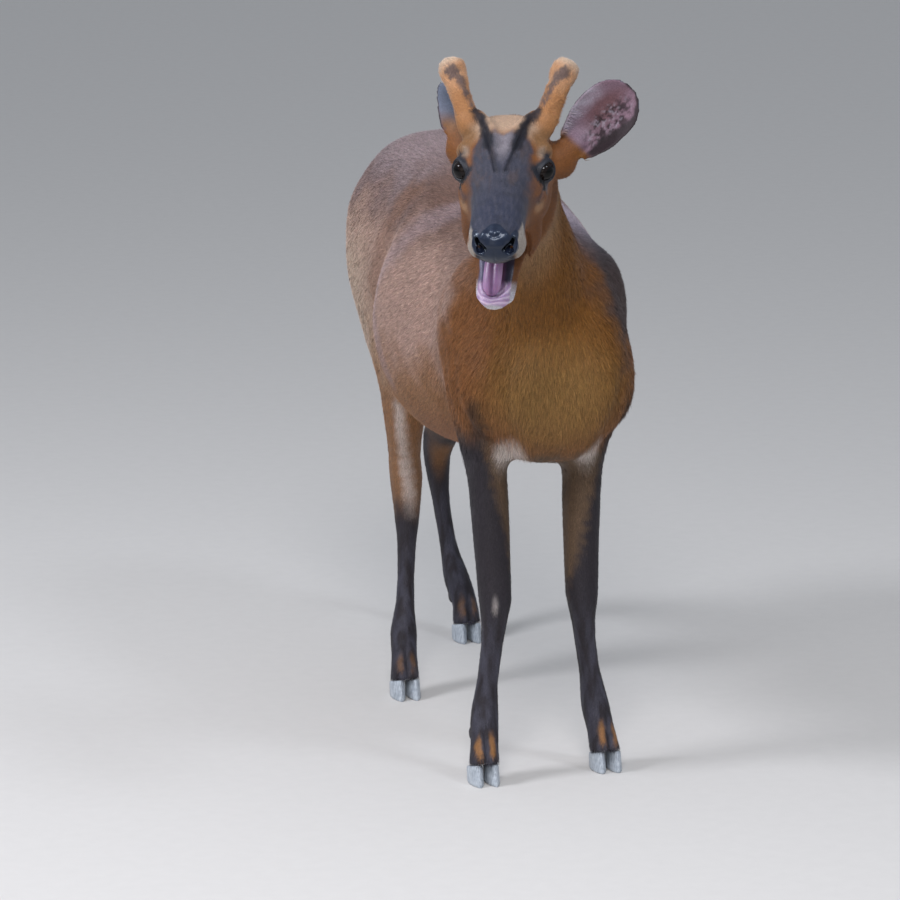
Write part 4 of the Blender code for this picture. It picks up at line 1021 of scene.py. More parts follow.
def horn_finish(name, codes):
    """Hoof horn: grown keratin in fine rings, worn dull, with pale streaks down the wall."""
    material, tree, shader = new_material(name)
    set_shader(shader, IOR=1.55, Sheen_Weight=0.05)
    place = add(tree, "ShaderNodeTexCoord")
    stretch = add(tree, "ShaderNodeMapping", [("Vector", place.outputs["Object"])], Scale=(1, 1, 0.12))
    streak = add(tree, "ShaderNodeTexNoise", [("Vector", stretch.outputs["Vector"])],
                 Scale=1 / (1.3 * MM), Detail=4.0)
    ramp = add(tree, "ShaderNodeValToRGB", [("Fac", streak.outputs["Fac"])])
    for at, code in zip((0.30, 0.55, 0.78), codes):
        stop = ramp.color_ramp.elements.new(at)
        stop.color = (*linear(code), 1)
    ramp.color_ramp.elements.remove(ramp.color_ramp.elements[0])
    tree.links.new(ramp.outputs["Color"], shader.inputs["Base Color"])
    rough = add(tree, "ShaderNodeMapRange", [("Value", streak.outputs["Fac"])], To_Min=0.38, To_Max=0.62)
    tree.links.new(rough.outputs["Result"], shader.inputs["Roughness"])
    rings = add(tree, "ShaderNodeTexWave", [("Vector", place.outputs["Object"])],
                bands_direction="Z", Scale=1 / (16 * MM), Distortion=2.0, Detail=2.0)
    bump = add(tree, "ShaderNodeBump", [("Height", rings.outputs["Fac"])], Distance=0.0003, Strength=0.5)
    tree.links.new(bump.outputs["Normal"], shader.inputs["Normal"])
    return material


def floor_finish():
    """Painted plaster: a matt pale ground with a faint trowelled grain."""
    material, tree, shader = new_material("matt_painted_floor")
    set_shader(shader, Roughness=0.9, IOR=1.45)
    place = add(tree, "ShaderNodeTexCoord")
    grain = add(tree, "ShaderNodeTexNoise", [("Vector", place.outputs["Object"])], Scale=60.0, Detail=5.0)
    ramp = add(tree, "ShaderNodeValToRGB", [("Fac", grain.outputs["Fac"])])
    ramp.color_ramp.elements[0].color = (*linear("#d4d1cc"), 1)
    ramp.color_ramp.elements[1].color = (*linear("#dad7d2"), 1)
    tree.links.new(ramp.outputs["Color"], shader.inputs["Base Color"])
    return material


def put_colours(mesh, colours):
    """Stores a colour for each vertex, for the material to read."""
    layer = mesh.color_attributes.new("coat_colour", "FLOAT_COLOR", "POINT")
    flat = np.ones((len(colours), 4), np.float32)
    flat[:, :3] = colours
    layer.data.foreach_set("color", flat.ravel())


# The coat.

# The lie of the coat: place, then direction, in the deer's frame for one side.
LIE_BODY = np.array((
    (0.00, 0.15, 0.58, 0, 1, -0.10), (0.00, 0.35, 0.60, 0, 1, -0.15), (0.03, 0.48, 0.56, 0, 0.8, -0.7),
    (0.03, 0.07, 0.57, 0.1, 1, -0.35), (0.10, 0.15, 0.47, 0, 0.75, -0.65),
    (0.10, 0.25, 0.45, 0, 0.8, -0.55), (0.08, 0.20, 0.35, -0.1, 0.85, -0.45), (0.00, 0.20, 0.30, 0, 1, 0),
    (0.08, 0.02, 0.45, 0.05, 0.4, -0.9), (0.07, 0.00, 0.37, 0, 0.2, -1), (0.00, -0.07, 0.40, 0, 0.25, -1),
    (0.04, -0.06, 0.46, 0.1, 0.2, -1), (-0.02, -0.11, 0.52, 0, 0.1, -1),
    (0.02, -0.02, 0.55, 0.05, 0.35, -0.95), (-0.02, 0.03, 0.60, 0.1, 0.5, -0.85),
    (0.09, 0.40, 0.48, 0, 0.5, -0.85), (0.08, 0.42, 0.38, 0, 0.3, -0.95),
    (0.07, 0.34, 0.36, 0.1, 0.5, -0.85), (0.05, 0.37, 0.26, 0, 0.1, -1),
    (0.05, 0.50, 0.26, 0, 0.5, -0.85), (0.04, 0.59, 0.20, 0, 0.1, -1), (0.05, 0.02, 0.25, 0, 0, -1),
    (0.06, 0.01, 0.05, 0, -0.1, -1), (0.05, 0.36, 0.10, 0, 0, -1), (0.05, 0.58, 0.10, 0, 0, -1),
    (0.03, -0.01, 0.35, 0.4, -0.3, -0.9), (0.00, 0.54, 0.45, 0, 0.1, -1),
))
# The same on the head, in millimetres: side, forward, up, then a direction in those words.
LIE_HEAD = np.array((
    (0, 105, 12, 0, -1, 0.1), (0, 70, 16, 0, -1, 0.15), (0, 35, 22, 0, -1, 0.2), (0, 0, 30, 0, -1, 0.1),
    (0, -40, 25, 0, -1, -0.2), (24, 70, 0, 0.15, -1, 0.0), (30, 35, -20, 0.2, -1, -0.15),
    (40, 0, -30, 0.1, -1, -0.4), (40, -30, -30, 0, -0.9, -0.6), (36, 12, 14, 0.3, -1, 0.3),
    (22, 100, -18, 0.3, -0.9, -0.3), (18, 95, -75, 0.2, -0.9, -0.4), (25, 50, -60, 0.1, -0.9, -0.5),
    (0, 60, -95, 0, -0.8, -0.6), (0, -10, -80, 0, -0.5, -0.85), (34, -38, 24, 0.35, -0.65, 0.65),
    (45, -65, 42, 0.45, -0.65, 0.6), (55, -50, -15, 0.5, -0.6, 0.1), (0, -80, 0, 0, -0.8, -0.6),
))


def blend_lie(places, rows, soft):
    """The rows' directions mixed at places of both sides, the nearer the stronger."""
    total = np.zeros_like(places)
    q = mirrored(places)
    for at, way in rows:
        w = 1 / (((q - at) ** 2).sum(1) + soft) ** 1.6
        total += w[:, None] * unit(way)
    total[:, 0] *= np.where(places[:, 0] < 0, -1.0, 1.0)
    return unit(total)


def lie_of_coat(places, normals):
    """The way the coat lies at each place, along the surface."""
    h = to_head(places)
    total = blend_lie(to_deer(places), [(row[:3], row[3:]) for row in LIE_BODY], 0.0008)
    face = blend_lie(h, [(spot(*row[:3]), row[3:] * (1, -1, 1)) for row in LIE_HEAD], 0.00008)
    for side in SIDES:
        _, along, _, across = ear_axes(side)
        w = ear_near(h, side)[:, None]
        fringe = ear_fringe(h, side)[:, None]
        face = unit(face) * (1 - w) + (along * (1 - 0.6 * fringe) + across * 0.9 * fringe) * w
    inside = rise(out_from(h, spot(0, 15, -20), (0.085, 0.125, 0.090)), 1.25, 1.0)
    inside = np.maximum(inside, ears_near(h))
    total = total * (1 - inside[:, None]) + (unit(face) @ HEAD_TURNING.T) * inside[:, None]
    total -= normals * (total * normals).sum(1)[:, None]
    return unit(total)


# A blade of hair, straight or bent: its triangles' corners, and each corner's shade and place on its patch.
STRAIGHT = {"corners": (0, 1, 2), "shade": (0.80, 0.80, 1.20), "patch": ((-1, -1), (1, -1), (0, 1))}
BENT = {"corners": (0, 1, 2, 0, 2, 3, 3, 2, 4), "shade": (0.72, 0.72, 1.0, 1.0, 1.2),
        "patch": ((-1, -1), (1, -1), (1, 0), (-1, 0), (0, 1))}
PATCH = 0.0015
# The size of a lock of hair, and how deep a tuft's root sits in the skin.
LOCK = 3.4 * MM
ROOT_DEPTH = 0.4 * MM


def grow(name, roots, normals, lies, length, width, lift, colours, unwrap, seed, slot, shape=STRAIGHT,
         spread=0.16, grizzle=0.21, stretch=(1, 1, 1)):
    """Tufts as thin pointed blades over the skin. Most of the values are arrays with a row for each tuft."""
    draw = np.random.default_rng(seed)
    n = len(roots)
    swing = draw.normal(0, spread, n)[:, None]
    lie = unit(lies + np.cross(normals, lies) * swing)
    side = np.cross(lie, normals)
    roll = draw.normal(0, 0.35, n)[:, None]
    side = unit(side * np.cos(roll) + normals * np.sin(roll))
    long = (length * draw.uniform(0.7, 1.25, n))[:, None]
    wide = (width * draw.uniform(0.7, 1.3, n))[:, None] / 2
    # Neighbours clump into locks, each with its own shade and height.
    lock = wander(roots * stretch, LOCK, seed)
    raised = (lift * draw.uniform(0.5, 1.6, n) * np.clip(1 + 0.6 * lock, 0.3, 2))[:, None]
    bend = draw.normal(0, 0.10, n)[:, None] * long
    base = roots - normals * ROOT_DEPTH
    tip = base + lie * long + normals * (raised * long * 0.85 + 0.0005) + side * bend
    points = [base - side * wide, base + side * wide]
    if shape is BENT:
        mid = base + lie * long * 0.52 + normals * (raised * long * 0.55 + 0.0004) + side * bend * 0.3
        points += [mid + side * wide * 0.85, mid - side * wide * 0.85]
    verts = np.stack(points + [tip], axis=1).astype(np.float32)
    each = verts.shape[1]
    corners = (np.arange(n)[:, None] * each + np.array(shape["corners"])).ravel()
    mesh = bpy.data.meshes.new(name)
    mesh.vertices.add(n * each)
    mesh.loops.add(len(corners))
    mesh.polygons.add(len(corners) // 3)
    mesh.vertices.foreach_set("co", verts.ravel())
    mesh.loops.foreach_set("vertex_index", corners.astype(np.int32))
    mesh.polygons.foreach_set("loop_start", np.arange(0, len(corners), 3, dtype=np.int32))
    shade_smooth(mesh)
    mesh.update(calc_edges=True)
    # Each tuft varies, is darker at its root and paler at its tip.
    own = colours * np.clip(1 + grizzle * (draw.normal(0, 1, n) + 0.9 * lock), 0.45, 1.8)[:, None]
    own *= 1 + draw.normal(0, 0.025, (n, 3))
    shade = np.array(shape["shade"])[None, :, None]
    put_colours(mesh, np.clip(own[:, None, :] * shade, 0.001, 1).reshape(-1, 3))
    # Each tuft's patch on the OFBake map, at its root's place on the unwrap.
    uv = (unwrap[:, None, :] + np.array(shape["patch"]) * PATCH).reshape(-1, 2)
    layer = mesh.uv_layers.new(name="OFBake")
    layer.data.foreach_set("uv", uv[corners].astype(np.float32).ravel())
    # The light falls on the coat as on the body under it, a little broken by each tuft.
    blade = unit(np.cross(tip - base, side))
    blade *= np.sign((blade * normals).sum(1))[:, None]
    soft = unit(normals * 0.80 + blade * 0.38)
    mesh.normals_split_custom_set_from_vertices(np.repeat(soft, each, axis=0).astype(np.float32))
    obj = show(bpy.data.objects.new(name, mesh))
    obj.data.materials.append(VELVET_FINISH if slot == "antler" else COAT_FINISH)
    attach(obj, "root")
    return obj


def unwrap_round(places, centre, along, zero):
    """Places on an unwrap of the skin round an axis: the turn about it and the way along it."""
    along = unit(np.asarray(along))
    zero = np.asarray(zero, float)
    zero = unit(zero - along * (zero @ along))
    third = np.cross(along, zero)
    out = places - centre
    turn = np.arctan2(out @ third, out @ zero) / (2 * math.pi) + 0.5
    way = out @ along
    way = (way - way.min()) / max(way.max() - way.min(), 1e-6)
    return np.column_stack((0.01 + 0.98 * turn, 0.01 + 0.98 * way))


def ear_fringe(h, side):
    """1 on the band of long pale hair along the inner edge of an ear's cup."""
    t, v, lift = ear_share(h, side)
    return ear_near(h, side) * rise(lift, -0.4 * MM, 0.4 * MM) * rise(v, -0.35, -0.60) * rise(t, 0.95, 0.80)


def length_of_coat(places):
    """Length, width and lift of the coat at places, in metres and as a slope."""
    p = to_deer(places)
    h = to_head(places)
    z = p[:, 2]
    long = 4.6 + 3.4 * rise(z, 0.24, 0.36) - 1.0 * rise(z, 0.20, 0.10)
    long += 2.5 * rise(p[:, 1], 0.03, -0.04) * rise(z, 0.34, 0.38) * rise(z, 0.50, 0.44)
    fringe = near(mirrored(p), (0.034, -0.012, 0.352), (0.020, 0.032, 0.024), 0.5)
    long += 6 * fringe
    tail = near(p, (0, 0.54, 0.42), (0.045, 0.035, 0.12), 0.1)
    long = long + tail * (22 - long)
    head = rise(out_from(h, spot(0, 25, -25), (0.075, 0.120, 0.085)), 1.25, 1.0)
    forward = -h[:, 1]
    face = 3.6 - 1.5 * rise(forward, 0.02, 0.09) + 1.6 * rise(forward, -0.02, -0.05)
    face += 1.2 * rise(h[:, 2], -0.02, -0.05) * rise(forward, 0.08, 0.04)
    long = long + head * (face - long)
    for sign in SIDES.values():
        close = rise(lid_share(h, sign)[0], 2.2, 1.4)
        long = long + close * (1.6 - long)
    long += 3.0 * rise(z, 0.036, 0.028)
    lift = 0.11 + 0.015 * wander(places, 0.03, 11) + 0.10 * tail + 0.14 * fringe - 0.04 * head
    stem = rise(antler_height(mirrored(h)), 0.050, 0.060) * (np.linalg.norm(h, axis=1) < 0.16)
    long = long + stem * (2.4 - long)
    lift = lift + stem * (0.05 - lift)
    for ear in SIDES:
        on = ear_near(h, ear)
        hairy = ear_fringe(h, ear)
        t, v, _ = ear_share(h, ear)
        edge = rise(np.minimum(1 - np.abs(v), (1 - t) * 1.6), 0.18, 0.04)
        long = long + on * (2.0 - 1.1 * edge + 5.0 * hairy - long)
        lift = lift + on * (0.02 + 0.12 * hairy - lift)
    wide = 0.34 + 0.46 * rise(long, 2.5, 9)
    return long * MM, wide * MM, lift


def sample_skin(mesh, density, seed):
    """Random roots over the skin's triangles, by area and density per square metre."""
    draw = np.random.default_rng(seed)
    mesh.calc_loop_triangles()
    tris = values_of(mesh.loop_triangles, "vertices", 3, np.int32)
    places = places_of(mesh)
    a, b, c = (places[tris[:, k]] for k in range(3))
    area = np.linalg.norm(np.cross(b - a, c - a), axis=1) / 2
    want = area * density[tris].mean(1)
    count = np.floor(want + draw.uniform(0, 1, len(want))).astype(int)
    which = np.repeat(np.arange(len(tris)), count)
    u, v = draw.uniform(0, 1, (2, len(which)))
    over = u + v > 1
    u[over], v[over] = 1 - u[over], 1 - v[over]
    mix = np.column_stack((1 - u - v, u, v))
    normals = normals_of(mesh)

    def blend(values):
        """Values of the skin's vertices, mixed for the roots."""
        corner = values[tris[which]]
        return (corner * mix[:, :, None]).sum(1) if values.ndim == 2 else (corner * mix).sum(1)

    return blend(places), unit(blend(normals)), blend


def region_of(places):
    """Which coat piece a root belongs to."""
    p = to_deer(places)
    h = to_head(places)
    region = np.full(len(p), 0)
    legs = (p[:, 2] < 0.33) & ((p[:, 1] < 0.09) | (p[:, 1] > 0.30))
    neck = (p[:, 1] < -0.005) & (p[:, 2] > 0.36)
    region[p[:, 0] < 0] = 1
    rump = p[:, 1] > 0.30
    region[rump & (p[:, 0] >= 0)] = 2
    region[rump & (p[:, 0] < 0)] = 3
    region[neck] = 4
    region[legs & (p[:, 1] < 0.2)] = 5
    region[legs & (p[:, 1] >= 0.2)] = 6
    head = out_from(h, spot(0, 22, -22), (0.080, 0.125, 0.095)) < 1.05
    head |= (ears_near(h) > 0) & (np.linalg.norm(h, axis=1) < 0.2)
    region[head] = 7
    region[head & (h[:, 0] > 0)] = 8
    tail = (p[:, 1] > 0.523) & (p[:, 2] > 0.34) & (np.abs(p[:, 0]) < 0.03)
    region[tail] = 9
    return region


# The pieces of the coat: their name, slot, and the most tufts that each may have.
REGIONS = (("left_flank", "torso", 150000), ("right_flank", "torso", 150000), ("left_rump", "torso", 138000),
           ("right_rump", "torso", 138000), ("neck", "neck", 120000), ("forelegs", "leg_upper", 90000),
           ("hindlegs", "leg_upper", 105000), ("right_head", "head", 125000), ("left_head", "head", 132000),
           ("tail", "tail", 14000))
COVER = 5.5


def grow_coat(skin):
    """The whole summer coat, in pieces by region."""
    mesh = skin.data
    places = places_of(mesh)
    normals = normals_of(mesh)
    h = to_head(places)
    long, wide, lift = length_of_coat(places)
    density = COVER / (long * wide * 0.5)
    density *= 1 - np.minimum(1, bare_share(h) * 1.5)
    for side in SIDES:
        cup = ear_near(h, side) * rise(ear_share(h, side)[2], -0.4 * MM, 0.4 * MM)
        density *= 1 - cup * (0.80 - 0.45 * ear_fringe(h, side))
    region = region_of(places)
    area = vertex_areas(mesh)
    expected = np.bincount(region, density * area, len(REGIONS))
    share = np.minimum(1, np.array([most for _, _, most in REGIONS]) * 0.97 / np.maximum(expected, 1))
    density *= share[region] * 1
    roots, ups, blend = sample_skin(mesh, density, 21)
    lies = blend(lie_of_coat(places, normals))
    lies = unit(lies - ups * (lies * ups).sum(1)[:, None])
    long, wide, lift = blend(long), blend(wide), blend(lift)
    colours = blend(markings(places))
    region = region_of(roots)
    print("tufts", len(roots), np.bincount(region).tolist(), "shares", share.round(2).tolist())
    for k, (name, slot, _) in enumerate(REGIONS):
        pick = region == k
        if name in ("forelegs", "hindlegs"):
            unwrap = leg_unwrap(roots[pick])
        elif name in ("neck", "tail"):
            unwrap = unwrap_round(roots[pick], roots[pick].mean(0), (0, 0.3, 1), (1, 0, 0))
        elif slot == "head":
            below_eyes = HEAD_PLACE - (0, 0, 0.02)
            unwrap = unwrap_round(roots[pick], below_eyes, HEAD_TURNING @ (0, -1, 0), (0, 0, -1))
        else:
            unwrap = unwrap_round(roots[pick], from_deer((0, 0.2, 0.44)), (0, 1, 0), (0, 0, -1))
        if slot in ("head", "torso"):
            turn = unwrap[:, 0]
            unwrap[:, 0] = 0.01 + 0.98 * (turn - turn.min()) / (turn.max() - turn.min())
        grow("coat_" + name, roots[pick], ups[pick], lies[pick], long[pick], wide[pick], lift[pick],
             colours[pick], unwrap, 40 + k, slot, BENT if name == "tail" else STRAIGHT,
             grizzle=0.13 if slot == "head" else 0.21,
             stretch=(1, 0.45, 1) if slot in ("torso", "head") else (1, 1, 0.45))


def vertex_areas(mesh):
    """The skin's area that each vertex stands for."""
    area = values_of(mesh.polygons, "area")
    sides = values_of(mesh.polygons, "loop_total", kind=np.int32)
    corner = values_of(mesh.loops, "vertex_index", kind=np.int32)
    return np.bincount(corner, np.repeat(area / sides, sides), len(mesh.vertices))


def leg_unwrap(roots):
    """Each leg has its own quarter of the map: the turn round it, and its height."""
    p = to_deer(roots)
    out = np.zeros((len(p), 2))
    for sign in (-1, 1):
        pick = p[:, 0] * sign > 0
        if not pick.any():
            continue
        legs = p[pick]
        order = np.argsort(legs[:, 2])
        window = np.interp(legs[:, 2], legs[order, 2][::400], legs[order, 1][::400])
        turn = np.arctan2(legs[:, 1] - window, legs[:, 0] - sign * 0.055) / (2 * math.pi) + 0.5
        height = legs[:, 2] / max(p[:, 2].max(), 1e-6)
        half = 0.0 if sign < 0 else 0.5
        out[pick] = np.column_stack((half + 0.01 + 0.48 * turn, 0.01 + 0.98 * height))
    return out


# The pieces.

def finish_skin(skin):
    """Gives the skin its colours, bare places and finishes."""
    mesh = skin.data
    places = places_of(mesh)
    h = to_head(places)
    colours = markings(places) * 0.8
    lining = mouth_lining(h)
    lining_colours(h, colours, lining)
    pad = nose_pad(h)
    tint(colours, pad, BARE["nose pad"])
    # Painted shadow: the nostrils and the hollow behind them are painted near black.
    tint(colours, nostril(h), BARE["nostril"])
    for sign in SIDES.values():
        share = lid_share(h, sign)[0]
        tint(colours, rise(share, 1.02, 0.9), BARE["eye socket"])
    put_colours(mesh, colours)
    for material in (hair_finish("short_hair_on_hide", 0.62, 0.08, 1.6, 0.22),
                     wet_finish("wet_nose_leather", 0.30, 1.1, 0.16, linear("#b4d2f4"), coat=0.4),
                     wet_finish("mouth_lining", 0.42, 1.6, 0.25, subsurface=0.15, coat=0.1),
                     wet_finish("bare_lid_skin", 0.42, 0.8, 0.2)):
        mesh.materials.append(material)
    kind = np.zeros(len(places), np.int32)
    for sign in SIDES.values():
        kind[lid_share(h, sign)[0] < 1.3] = 3
    kind[lining > 0.5] = 2
    kind[pad > 0.5] = 1
    starts = values_of(mesh.polygons, "loop_start", kind=np.int32)
    corner = values_of(mesh.loops, "vertex_index", kind=np.int32)
    mesh.polygons.foreach_set("material_index", kind[corner[starts]])
    shade_smooth(mesh)
    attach(skin, "root")
    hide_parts(*FLESH, *EARS)


def make_skin():
    skin = skin_body()
    mesh = skin.data
    middles = to_head(face_middles(mesh))
    face = out_from(middles, spot(0, 45, -25), (0.052, 0.100, 0.070)) < 1
    split_finer(mesh, face)
    middles = to_head(face_middles(mesh))
    fine = middles[:, 1] < -0.098
    for sign in SIDES.values():
        centre, facing, _, _ = eye_axes(sign)
        fine |= np.linalg.norm(middles - centre - facing * 0.008, axis=1) < 0.020
    fine |= line_distance(mirrored(middles), GLAND_SLIT)[0] < 5 * MM
    fine |= line_distance(mirrored(middles), BROW_LINE[:4])[0] < 4 * MM
    split_finer(mesh, fine)
    places = places_of(mesh)
    h = to_head(places)
    faceward = out_from(h, spot(0, 45, -25), (0.054, 0.102, 0.072)) < 1
    smoothed(mesh, np.where(faceward, 0.5, 0.0), 6)
    places = places_of(mesh)
    put_places(mesh, places - normals_of(mesh) * skin_depth(places)[:, None])
    sculpt_body(mesh)
    sculpt_head(skin)
    finish_skin(skin)
    return skin


def make_eye(side):
    """An eyeball with a swelling cornea, brown iris and long pupil."""
    sign = SIDES[side]
    centre, facing, inner, upward = eye_axes(sign)
    rows, columns = 48, 64
    verts = []
    for i in range(rows + 1):
        a = math.pi * i / rows
        for k in range(columns):
            b = 2 * math.pi * k / columns
            ray = facing * math.cos(a) + (inner * math.cos(b) + upward * math.sin(b)) * math.sin(a)
            verts.append(centre + ray * (EYE_RADIUS - 0.3 * MM + 0.9 * MM * float(rise(a, 0.75, 0.35))))
    faces = [(i * columns + k, i * columns + (k + 1) % columns, (i + 1) * columns + (k + 1) % columns,
              (i + 1) * columns + k) for i in range(rows) for k in range(columns)]
    eye = mesh_object("eyeball_" + side, from_head(np.array(verts)), faces)
    bm = bmesh.new()
    bm.from_mesh(eye.data)
    bmesh.ops.remove_doubles(bm, verts=bm.verts, dist=1e-6)
    bmesh.ops.recalc_face_normals(bm, faces=bm.faces)
    bm.to_mesh(eye.data)
    bm.free()
    h = to_head(places_of(eye.data)) - centre
    ray = unit(h)
    x, y = ray @ inner, ray @ upward
    front = (ray @ facing) > 0
    across = np.where(front, np.hypot(x, y), 1)
    colour = np.tile(BARE["eye white"], (len(h), 1))
    tint(colour, rise(across, 0.84, 0.78), BARE["iris"])
    tint(colour, rise(np.abs(across - 0.80), 0.06, 0.02), BARE["iris edge"])
    tint(colour, rise(np.hypot(x / 0.50, y / 0.27), 1.12, 0.95) * front, BARE["pupil"])
    put_colours(eye.data, colour)
    shade_smooth(eye.data)
    eye.data.materials.append(EYE_FINISH)
    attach(eye, "root")
    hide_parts("eye_" + side)


# Rows up an antler in the head's axes, in metres: side, forward, up, radius.
ANTLER_ROWS = [
    (.0345, -.037, .022, .0122), (.0395, -.050, .032, .0113), (.0445, -.063, .040, .0110),
    (.0490, -.075, .0465, .0122), (.0530, -.086, .052, .0143), (.0562, -.094, .0555, .0125),
    (.0575, -.097, .057, .0065),
]
# Hairs of the velvet on a square metre.
FUZZ = 4.5e6


def make_antler(side):
    """A short antler in velvet, from inside the pedicle to its blunt tip, with its own fuzz."""
    sign = SIDES[side]
    rows = curve_through([(sign * a, -f, u, r, r) for a, f, u, r in ANTLER_ROWS], 6)
    rows[:, 3:] -= 0.0012
    antler = mesh_object("velvet_antler_" + side, *round_tube(rows, 28))
    put_places(antler.data, from_head(places_of(antler.data)))
    mesh = remeshed(antler, 1.1 * MM)
    smoothed(mesh, 0.5, 12)
    places = places_of(mesh)
    lumps = wander(places, 0.014, 31) * 0.0006
    put_places(mesh, places + normals_of(mesh) * lumps[:, None])
    places = places_of(mesh)
    put_colours(mesh, velvet_marks(places) * 0.8)
    shade_smooth(mesh)
    mesh.materials.append(VELVET_FINISH)
    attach(antler, "root")
    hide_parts("antler_" + side)
    roots, ups, _ = sample_skin(mesh, np.full(len(places), FUZZ), 61 + sign)
    ahead = from_head(np.array([rows[-1, :3]]))[0] - from_head(np.array([rows[0, :3]]))[0]
    lies = unit(ahead) - ups * (ups @ unit(ahead))[:, None]
    lies = unit(lies + 0.25 * np.random.default_rng(62 + sign).normal(size=lies.shape))
    lies = unit(lies - ups * (lies * ups).sum(1)[:, None])
    n = len(roots)
    unwrap = unwrap_round(roots, roots.mean(0), ahead, (1, 0, 0))
    long, wide, lift = (np.full(n, size) for size in (2.0 * MM, 0.30 * MM, 0.35))
    grow("velvet_fuzz_" + side, roots, ups, lies, long, wide, lift, velvet_marks(roots), unwrap, 65 + sign,
         "antler", spread=0.3)


def velvet_marks(places):
    """Orange tan velvet, paler round the tip, with a mottled dark patch on its front and inner side."""
    h = to_head(places)
    m = mirrored(h)
    colours = np.tile(COAT["velvet"], (len(h), 1))
    height = antler_height(m)
    tint(colours, rise(height, 0.098, 0.080), COAT["pedicle"])
    tint(colours, rise(height, 0.108, 0.122), COAT["velvet tip"])
    d, along = line_distance(m, spots((32, -48, 41.5), (38, -57, 48), (43, -66, 54), (49, -71, 58),
                                       (54, -75, 60)))
    ragged = 2.0 * MM * wander(places, 0.007, 33) + 1.5 * MM * wander(places, 0.003, 34)
    wide = (4.0 + 2.5 * rise(along, 0.55, 0.9)) * MM
    tint(colours, rise(d + ragged, wide + 2.5 * MM, wide - 2.5 * MM) * 0.85, COAT["velvet dark"])
    return colours


def make_claw(node):
    """A claw of horn, or a dewclaw: the solid's own form with its edges worn round and growth rings."""
    claw = mesh_object("horn_" + node, *gather([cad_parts[node]]))
    mesh = remeshed(claw, 1.1 * MM)
    smoothed(mesh, 0.5, 5)
    places = places_of(mesh)
    normals = normals_of(mesh)
    wall = 1 - np.abs(normals[:, 2])
    rings = np.sin(places[:, 2] / 0.0026 * 2 * math.pi + 1.5 * wander(places, 0.02, 71)) * 0.00012
    places += normals * (rings * wall)[:, None]
    places[:, 2] = np.maximum(places[:, 2], 0.0)
    put_places(mesh, places)
    shade_smooth(mesh)
    mesh.materials.append(HOOF_FINISH if node.startswith("hoof") else DEWCLAW_FINISH)
    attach(claw, "root")
    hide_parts(node)


# Rows along the tongue, in metres: forward, half width, lift, half thickness.
TONGUE_ROWS = ((0.024, .0065, .004, .0050), (0.040, .0086, .006, .0060), (0.060, .0090, .005, .0056),
               (0.080, .0092, .003, .0048), (0.091, .0080, .001, .0038), (0.0975, .0042, .000, .0022))
TONGUE_SIDE = np.array((-0.0030, 0, 0))


def jaw_place(forward, up):
    """A place on the middle of the open jaw, in the head's axes, given as with the mouth shut."""
    f = forward - JAW_HINGE[0]
    u = up - JAW_HINGE[1]
    c, s = math.cos(JAW_OPEN), math.sin(JAW_OPEN)
    ahead = f * c + u * s
    return np.array((-ahead * math.sin(JAW_SWING), -(JAW_HINGE[0] + ahead * math.cos(JAW_SWING)),
                     JAW_HINGE[1] - f * s + u * c))


def make_tongue():
    """The tongue, with its groove and a wet grain."""
    rows = curve_through([(*(jaw_place(f, -0.036 + lift) + TONGUE_SIDE), half, thick)
                          for f, half, lift, thick in TONGUE_ROWS])
    tongue = mesh_object("wet_tongue", *round_tube(rows, 28))
    put_places(tongue.data, from_head(places_of(tongue.data)))
    mesh = remeshed(tongue, 1.0 * MM)
    smoothed(mesh, 0.5, 8)
    places = places_of(mesh)
    h = to_head(places)
    up_jaw = unit(jaw_place(0, 1) - jaw_place(0, 0))
    reach, _, side = jaw_turn(h - TONGUE_SIDE)
    top = np.clip(normals_of(mesh) @ HEAD_TURNING @ up_jaw, 0, 1)
    middle_line = side + 1.0 * MM * np.sin(reach / 0.035)
    h -= up_jaw * (1.9 * MM * np.exp(-(middle_line / (2.0 * MM)) ** 2) * top)[:, None]
    h += up_jaw * (0.12 * MM * wander(h, 0.002, 81) * top)[:, None]
    put_places(mesh, from_head(h))
    colours = np.tile(BARE["tongue"], (len(h), 1))
    # Painted light and shade: the tongue's edges paler as lit, its groove and its root toward the throat
    # darker as shade.
    tint(colours, rise(np.abs(side), 4 * MM, 9 * MM) * 0.7, BARE["tongue edge highlight"])
    tint(colours, np.exp(-(middle_line / (2.8 * MM)) ** 2) * 0.65, BARE["tongue groove shade"])
    tint(colours, rise(reach, 0.138, 0.095) * 0.75, BARE["tongue root shade"])
    put_colours(mesh, colours)
    shade_smooth(mesh)
    mesh.materials.append(wet_finish("wet_tongue_skin", 0.34, 0.9, 0.2, subsurface=0.25, coat=0.25))
    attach(tongue, "root")
    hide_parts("tongue")


# The camera fitted to the photograph: its place from STAND, its turn and dip, and its lens in millimetres.
CAMERA_PLACE = Vector((-1.409277, -5.140253, 1.5))
CAMERA_TURN = math.radians(14.3046)
CAMERA_DIP = math.radians(12.3354)
LENS = 220.43
# The lamps: name, place from STAND, size in metres, power in watts, colour.
LAMPS = (
    ("sky_light", (-0.65, -1.9, 2.25), 0.9, 36, "#f8f6fa"),
    ("front_light", (-2.0, -3.2, 1.4), 2.2, 9, "#fff2e2"),
    ("left_lamp", (-2.1, -0.1, 2.2), 0.8, 40, "#f2f5ff"),
    ("right_lamp", (0.9, -1.3, 2.45), 0.5, 11, "#eaf2ff"),
)


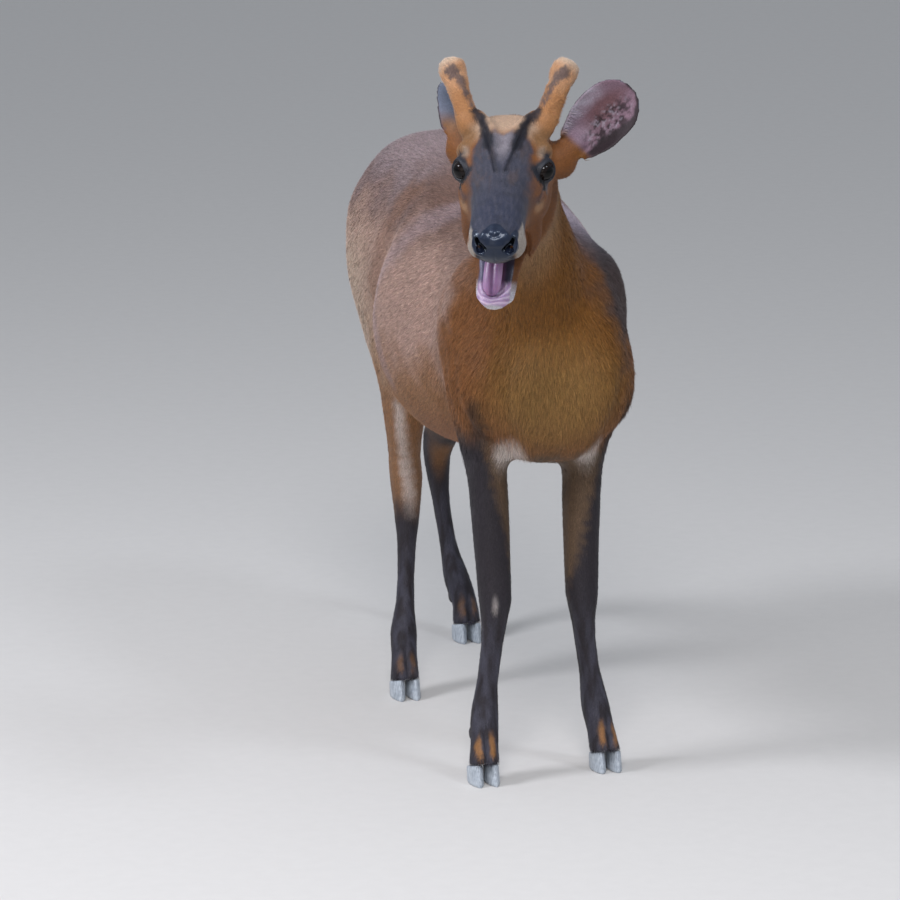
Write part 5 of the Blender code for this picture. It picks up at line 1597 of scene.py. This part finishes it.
def set_stage():
    """Pale floor, soft light and the camera of the photograph."""
    scene = bpy.context.scene
    floor = mesh_object("studio_floor", [(x, y, 0) for x, y in ((-30, -30), (30, -30), (30, 30), (-30, 30))],
                        [(0, 1, 2, 3)])
    floor.data.materials.append(floor_finish())
    world = bpy.data.worlds.new("studio")
    world.use_nodes = True
    world.node_tree.nodes["Background"].inputs[0].default_value = (*linear("#e4ebf7"), 1)
    world.node_tree.nodes["Background"].inputs[1].default_value = 0.50
    scene.world = world
    scene.view_settings.view_transform = "Standard"
    for name, place, size, power, colour in LAMPS:
        light = bpy.data.lights.new(name, "AREA")
        light.shape = "DISK"
        light.size = size
        light.energy = power
        light.color = linear(colour)
        lamp = show(bpy.data.objects.new(name, light))
        lamp.location = STAND + Vector(place)
        ahead = Vector((0, 0.15, 0.4)) + STAND - lamp.location
        lamp.rotation_euler = ahead.to_track_quat("-Z", "Y").to_euler()
    camera = bpy.data.cameras.new("photo_view")
    camera.sensor_width = 36
    camera.lens = LENS
    camera.clip_end = 100
    viewer = show(bpy.data.objects.new("photo_view", camera))
    level = Vector((math.sin(CAMERA_TURN), math.cos(CAMERA_TURN), 0))
    ahead = level * math.cos(CAMERA_DIP) - Vector((0, 0, math.sin(CAMERA_DIP)))
    right = Vector((level.y, -level.x, 0))
    facing = Matrix((right, right.cross(ahead), -ahead)).transposed().to_4x4()
    facing.translation = STAND + CAMERA_PLACE
    viewer.matrix_world = facing
    scene.camera = viewer


COAT_FINISH = hair_finish("summer_coat_hair", 0.62, 0.03, 2.5, 0.10)
VELVET_FINISH = hair_finish("antler_velvet", 0.75, 0.3, 1.0, 0.18)
EYE_FINISH = eye_finish()
HOOF_FINISH = horn_finish("grown_hoof_horn", ("#89929b", "#b3bbc3", "#ced3d7"))
DEWCLAW_FINISH = horn_finish("dark_dewclaw_horn", ("#221f22", "#353136", "#4e4a50"))

set_stage()
skin = make_skin()
print("skin faces", len(skin.data.polygons))
grow_coat(skin)
make_tongue()
for side in SIDES:
    make_eye(side)
    make_antler(side)
for end in ENDS:
    for side in SIDES:
        for claw in CLAWS:
            make_claw(f"hoof_{end}_{side}_{claw}")
            make_claw(f"dewclaw_{end}_{side}_{claw}")
